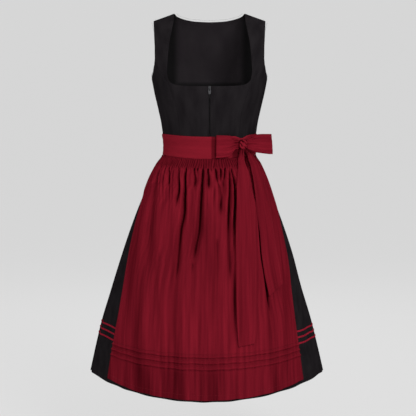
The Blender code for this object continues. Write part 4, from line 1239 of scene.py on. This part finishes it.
def tie_end(name, node, table, lift, even, seed):
    """One hanging end of the sash, pleated under the knot and lying on the apron."""
    last = len(table) - 1
    read = smooth_table([(i / last, *line) for i, line in enumerate(table)])
    across = round(30 * FINE)
    down = round(130 * FINE)
    left_z_top = table[0][0]
    grid, shade = [], []
    for i in range(down + 1):
        s = i / down
        left_z, left_x, right_z, right_x = read(s)
        line = []
        for j in range(across + 1):
            t = j / across
            x, z = left_x + (right_x - left_x) * t, left_z + (right_z - left_z) * t
            fold = 0.0016 * math.sin(math.pi * t) + 0.0012
            pleat = 0.0016 * (1 - blend(0.04, 0.22, s)) * math.sin(math.tau * 2 * t + seed)
            pleat -= 0.0016 * bell(t - 0.78, 0.035) * bell(s - 0.55, 0.2)
            soft = 0.0008 * drift(t * 1.6, s * 4, seed) + 0.0004 * drift(t * 4, s * 7, seed + 1)
            hem = HEM_FOLD * (blend(0.1, 0.08, t) + blend(0.9, 0.92, t))
            fall = TIE_FALL * blend(TIE_LANDING, left_z_top, z)
            height = max(fold + pleat + soft, 0.0) + hem + fall
            line.append(over_apron(x, z, lift + SATIN + height))
            shade.append(tie_shade(s, t, even, seed))
        grid.append(line)
    made = cloth_grid(name, grid, "red_satin", SATIN, (node,), shade=shade)
    return [grid_line(grid, column=3), grid_line(grid, column=across - 3),
            grid_line(grid, index=down - 3)]


def knot_frame():
    """Foot of the knot on the sash, with its outward and sideways directions."""
    row = front_row(KNOT_X, KNOT_Z)
    angle = angle_at(KNOT_X, row)
    foot = body(angle, row, SASH_OUT)
    outward = (body(angle, row, 1.0) - body(angle, row)).normalized()
    return foot, outward, Vector((-outward.y, outward.x, 0.0))


@lru_cache(maxsize=None)
def sash_path(distance):
    """Angle round the sash at a level distance from the knot."""
    row = front_row(KNOT_X, KNOT_Z)
    angle = angle_at(KNOT_X, row)
    steps = 24
    for _ in range(steps):
        pace = (body(angle + 0.001, row) - body(angle - 0.001, row)).length / 0.002
        angle += distance / steps / pace
    return angle


def bow_loop(name, node, side, length, table, stand, seed):
    """Loop of sash: out from the knot, round a soft fold at the tip and back, with pleats
    that open from the knot and a sewn hem along both edges."""
    read = smooth_table(table)
    root, gain, power = stand
    middle = front_row(KNOT_X, KNOT_Z)
    runs = [1 - (1 - i / 30) ** 1.3 for i in range(31)]
    turns = [math.pi * i / 10 for i in range(1, 10)]
    reach = length - LOOP_START
    path = [(LOOP_START + reach * s, s, 1.0) for s in runs]
    tip_gap = read(1.0)[1] / 2
    path += [(length + tip_gap * math.sin(a), 1.0, math.cos(a)) for a in turns]
    path += [(LOOP_START + reach * s, s, -1.0) for s in reversed(runs)]
    pleats, creases, softness = LOOP_DEPTHS
    grid = []
    for along, share, layer in path:
        half, gap, droop = read(share)
        angle = sash_path(round(side * along, 7))
        line = []
        for k in range(LOOP_COLUMNS + 1):
            v = 1 - 2 * k / LOOP_COLUMNS
            turn = math.tau * LOOP_PLEATS * v + 2.4 * drift(v, share, seed)
            pleat = pleats * (1 - share) ** 1.5 * math.cos(turn)
            fade = (1 - share) ** 1.1 * blend(0.0, 0.15, share)
            crease = creases * fade * drift(v / (0.35 + share) * 2.4, share * 2, seed)
            soft = softness * drift(v * 2.5, share * 4 + layer, seed + 2)
            hem = HEM_FOLD * blend(0.84, 0.88, abs(v)) * (1 if layer > 0 else -1)
            inner = max(layer, -0.2) * (crease + soft)
            out = root + gain * share ** power + gap / 2 + pleat
            out += layer * (gap / 2) * (1 - 0.35 * v * v)
            out -= RIGHT_LEAN * share ** 2 * (0.5 + 0.5 * v) if side > 0 else 0.0
            line.append(body(angle, middle + half * v - droop, SASH_OUT + out + inner + hem))
        grid.append(line)
    made = cloth_grid(name, grid, "red_satin", SATIN, (node,), flip=side < 0)
    made.modifiers["thickness"].offset = 0.0
    lines = []
    for column in (4, LOOP_COLUMNS - 4):
        points, normals = grid_line(grid, column=column)
        if side < 0:
            normals = [-normal for normal in normals]
        lines.append(([p + n * SATIN / 2 for p, n in zip(points, normals)], normals))
    return lines


def bow_knot():
    """Knot: the sash wrapped over the loops, a soft cushion with slanting creases."""
    foot, outward, sideways = knot_frame()
    shape = bmesh.new()
    bmesh.ops.create_uvsphere(shape, u_segments=72, v_segments=48, radius=0.5)
    uv, shade = {}, []
    for vert in shape.verts:
        x, y, z = (signed_power(2 * c, 0.8) / 2 for c in vert.co)
        slant = 2.3 * (z + 0.6 * x + 0.5 * x * z) + 0.35 * drift(x * 3, z * 3, 31)
        pleats = math.cos(math.tau * slant)
        away = blend(0.06, 0.34, math.hypot(x, z))
        pinch = 1 - (0.07 + 0.13 * away) * (1 - pleats) * abs(y)
        bulge = 0.001 * drift(x * 4, z * 4 + y, 32)
        place = foot + sideways * (x * KNOT_WIDTH * KNOT_FULL)
        place += outward * ((y * pinch + 0.5) * KNOT_DEPTH + SEAM + bulge * (y + 0.5))
        vert.co = place + Vector((0, 0, z * KNOT_HEIGHT - 0.0008))
        uv[vert.index] = (x * KNOT_WIDTH, z * KNOT_HEIGHT)
        # Painted shade: darker in the slanting creases, and round the rim where the knot turns
        # away
        rim = blend(0.43, 0.52, math.hypot(x, z))
        shade.append(max(0.92 * away * blend(0.1, -0.9, pleats), 0.75 * rim))
    mesh = closed_mesh("taffeta_knot", shape)
    add_uv_map(mesh, uv)
    add_painted_shade(mesh, shade)
    return piece("taffeta_knot", mesh, "red_sash_painted_light", ("bow_knot",))


def build_bow():
    knot = bow_knot()
    lines = bow_loop("taffeta_loop_left", "bow_loop_left", -1, LEFT_REACH, LEFT_LOOP,
                     LEFT_STAND, 21)
    lines += bow_loop("taffeta_loop_right", "bow_loop_right", 1, RIGHT_REACH, RIGHT_LOOP,
                      RIGHT_STAND, 24)
    lines += tie_end("taffeta_end_long", "tie_end_long", TIE_LONG, 0.0012, 0.1,
                     41)
    lines += tie_end("taffeta_end_short", "tie_end_short", TIE_SHORT, 0.0, 0.17,
                     45)
    sewing("bow_stitches", lines, "red_thread")


# Zip

def front_y(z, x=0.0):
    """Depth of the bodice's outside near the centre front."""
    row = z
    for _ in range(4):
        row = z + section(row)[4]
    return bodice(angle_at(x, row), row).y


def build_zip():
    """Tape behind the fronts, and the coil's teeth in the slit between them."""
    behind = BODICE_WALL + TAPE_GAP
    heights = [ZIP_TOP + (ZIP_FOOT - ZIP_TOP) * i / 90 for i in range(91)]
    sides = [TAPE_HALF * (2 * j / 16 - 1) for j in range(17)]
    grid = [[Vector((x, front_y(z, x) + behind + TAPE_LEAN * abs(x), z)) for x in sides]
            for z in heights]
    tape = cloth_grid("zip_tape_woven", grid, "zip_tape", 0.0006, ("zip_tape",))
    build_teeth(behind)
    for name in ("zip_slider", "zip_pull"):
        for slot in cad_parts[name].material_slots:
            slot.material = zip_metal()


TOOTH_PITCH = 0.0012
TOOTH_RADIUS = 0.00038
TOOTH_LEAN = 0.0002


def build_teeth(behind):
    """Coil of the zip: one rounded bar for each turn, leaning a little."""
    shape = bmesh.new()
    around = [Vector((0, math.cos(turn), math.sin(turn))) * TOOTH_RADIUS
              for turn in (math.tau * n / 8 for n in range(8))]
    for i in range(int((ZIP_TOP - ZIP_FOOT) / TOOTH_PITCH)):
        z = ZIP_TOP - TOOTH_PITCH * (i + 0.5)
        y = front_y(z) + behind - TOOTH_RADIUS - 0.0003
        rings = []
        for share, girth in ((-1.0, 0.5), (-0.8, 1.0), (0.8, 1.0), (1.0, 0.5)):
            lean = TOOTH_LEAN * share * (1 if i % 2 else -1)
            centre = Vector((share * COIL_HALF, y, z + lean))
            rings.append([centre + spoke * girth for spoke in around])
        add_bar(shape, rings)
    piece("zip_teeth", closed_mesh("zip_teeth", shape), "zip_nylon", ("zip_coil",))


# Studio

STAGE_COLOUR = (0.16, 0.16, 0.16)
STAGE_GLOW = 0.585        # keeps the pale stage even from edge to edge
STAGE_HALF = 15.0
STAGE_FRONT = -9.0
STAGE_BACK = 7.0
STAGE_RADIUS = 2.6
STAGE_HEIGHT = 14.0
# Lights: place, what it points at, size, power
LIGHTS = (
    ("key", (1.4, -3.1, 1.2), (0.0, 0.0, -0.5), 1.2, 80.0),
    ("fill", (-2.3, -2.8, 0.2), (0.0, 0.0, -0.5), 2.6, 26.0),
    ("top", (0.0, -0.6, 2.4), (0.0, 0.0, -0.4), 2.0, 14.0),
    ("back", (0.0, 2.4, 1.4), (0.0, 0.0, -0.5), 2.4, 26.0),
)
AMBIENT = 0.34


def build_stage():
    """Pale floor that curves up into a backdrop, far behind the dress."""
    profile = [(STAGE_FRONT, FLOOR)]
    for i in range(25):
        turn = math.pi / 2 * i / 24
        profile.append((STAGE_BACK - STAGE_RADIUS + STAGE_RADIUS * math.sin(turn),
                        FLOOR + STAGE_RADIUS - STAGE_RADIUS * math.cos(turn)))
    profile.append((STAGE_BACK, STAGE_HEIGHT))
    points = [(x, y, z) for y, z in profile for x in (-STAGE_HALF, STAGE_HALF)]
    faces = [(i, i + 1, i + 3, i + 2) for i in range(0, len(points) - 2, 2)]
    mesh = new_mesh("studio_floor", points, faces)
    made, _, shader = new_material("studio_floor", STAGE_COLOUR, 0.9, 0.1)
    shader.inputs["Emission Color"].default_value = (1.0, 1.0, 1.0, 1.0)
    shader.inputs["Emission Strength"].default_value = STAGE_GLOW
    mesh.materials.append(made)
    mesh.shade_smooth()
    put("studio_floor", mesh)


def build_light():
    """Large soft lights and an even pale surround."""
    world = bpy.data.worlds.new("studio")
    world.use_nodes = True
    back = world.node_tree.nodes["Background"]
    back.inputs["Color"].default_value = (1.0, 1.0, 1.0, 1.0)
    back.inputs["Strength"].default_value = AMBIENT
    bpy.context.scene.world = world
    for name, place, aim, size, power in LIGHTS:
        lamp = bpy.data.lights.new(name, "AREA")
        lamp.size = size
        lamp.energy = power
        put(name, lamp, place, aim)


def build_camera():
    camera = bpy.data.cameras.new("camera")
    camera.sensor_width = SENSOR
    camera.lens = SENSOR * abs(CAMERA.y) / VIEW_WIDTH
    bpy.context.scene.camera = put("camera", camera, CAMERA, AIM)
    bpy.context.scene.view_settings.view_transform = "Standard"


build_camera()
build_light()
build_stage()
build_bodice()
build_skirt()
build_apron()
build_sash()
build_bow()
build_zip()

bpy.context.view_layer.update()
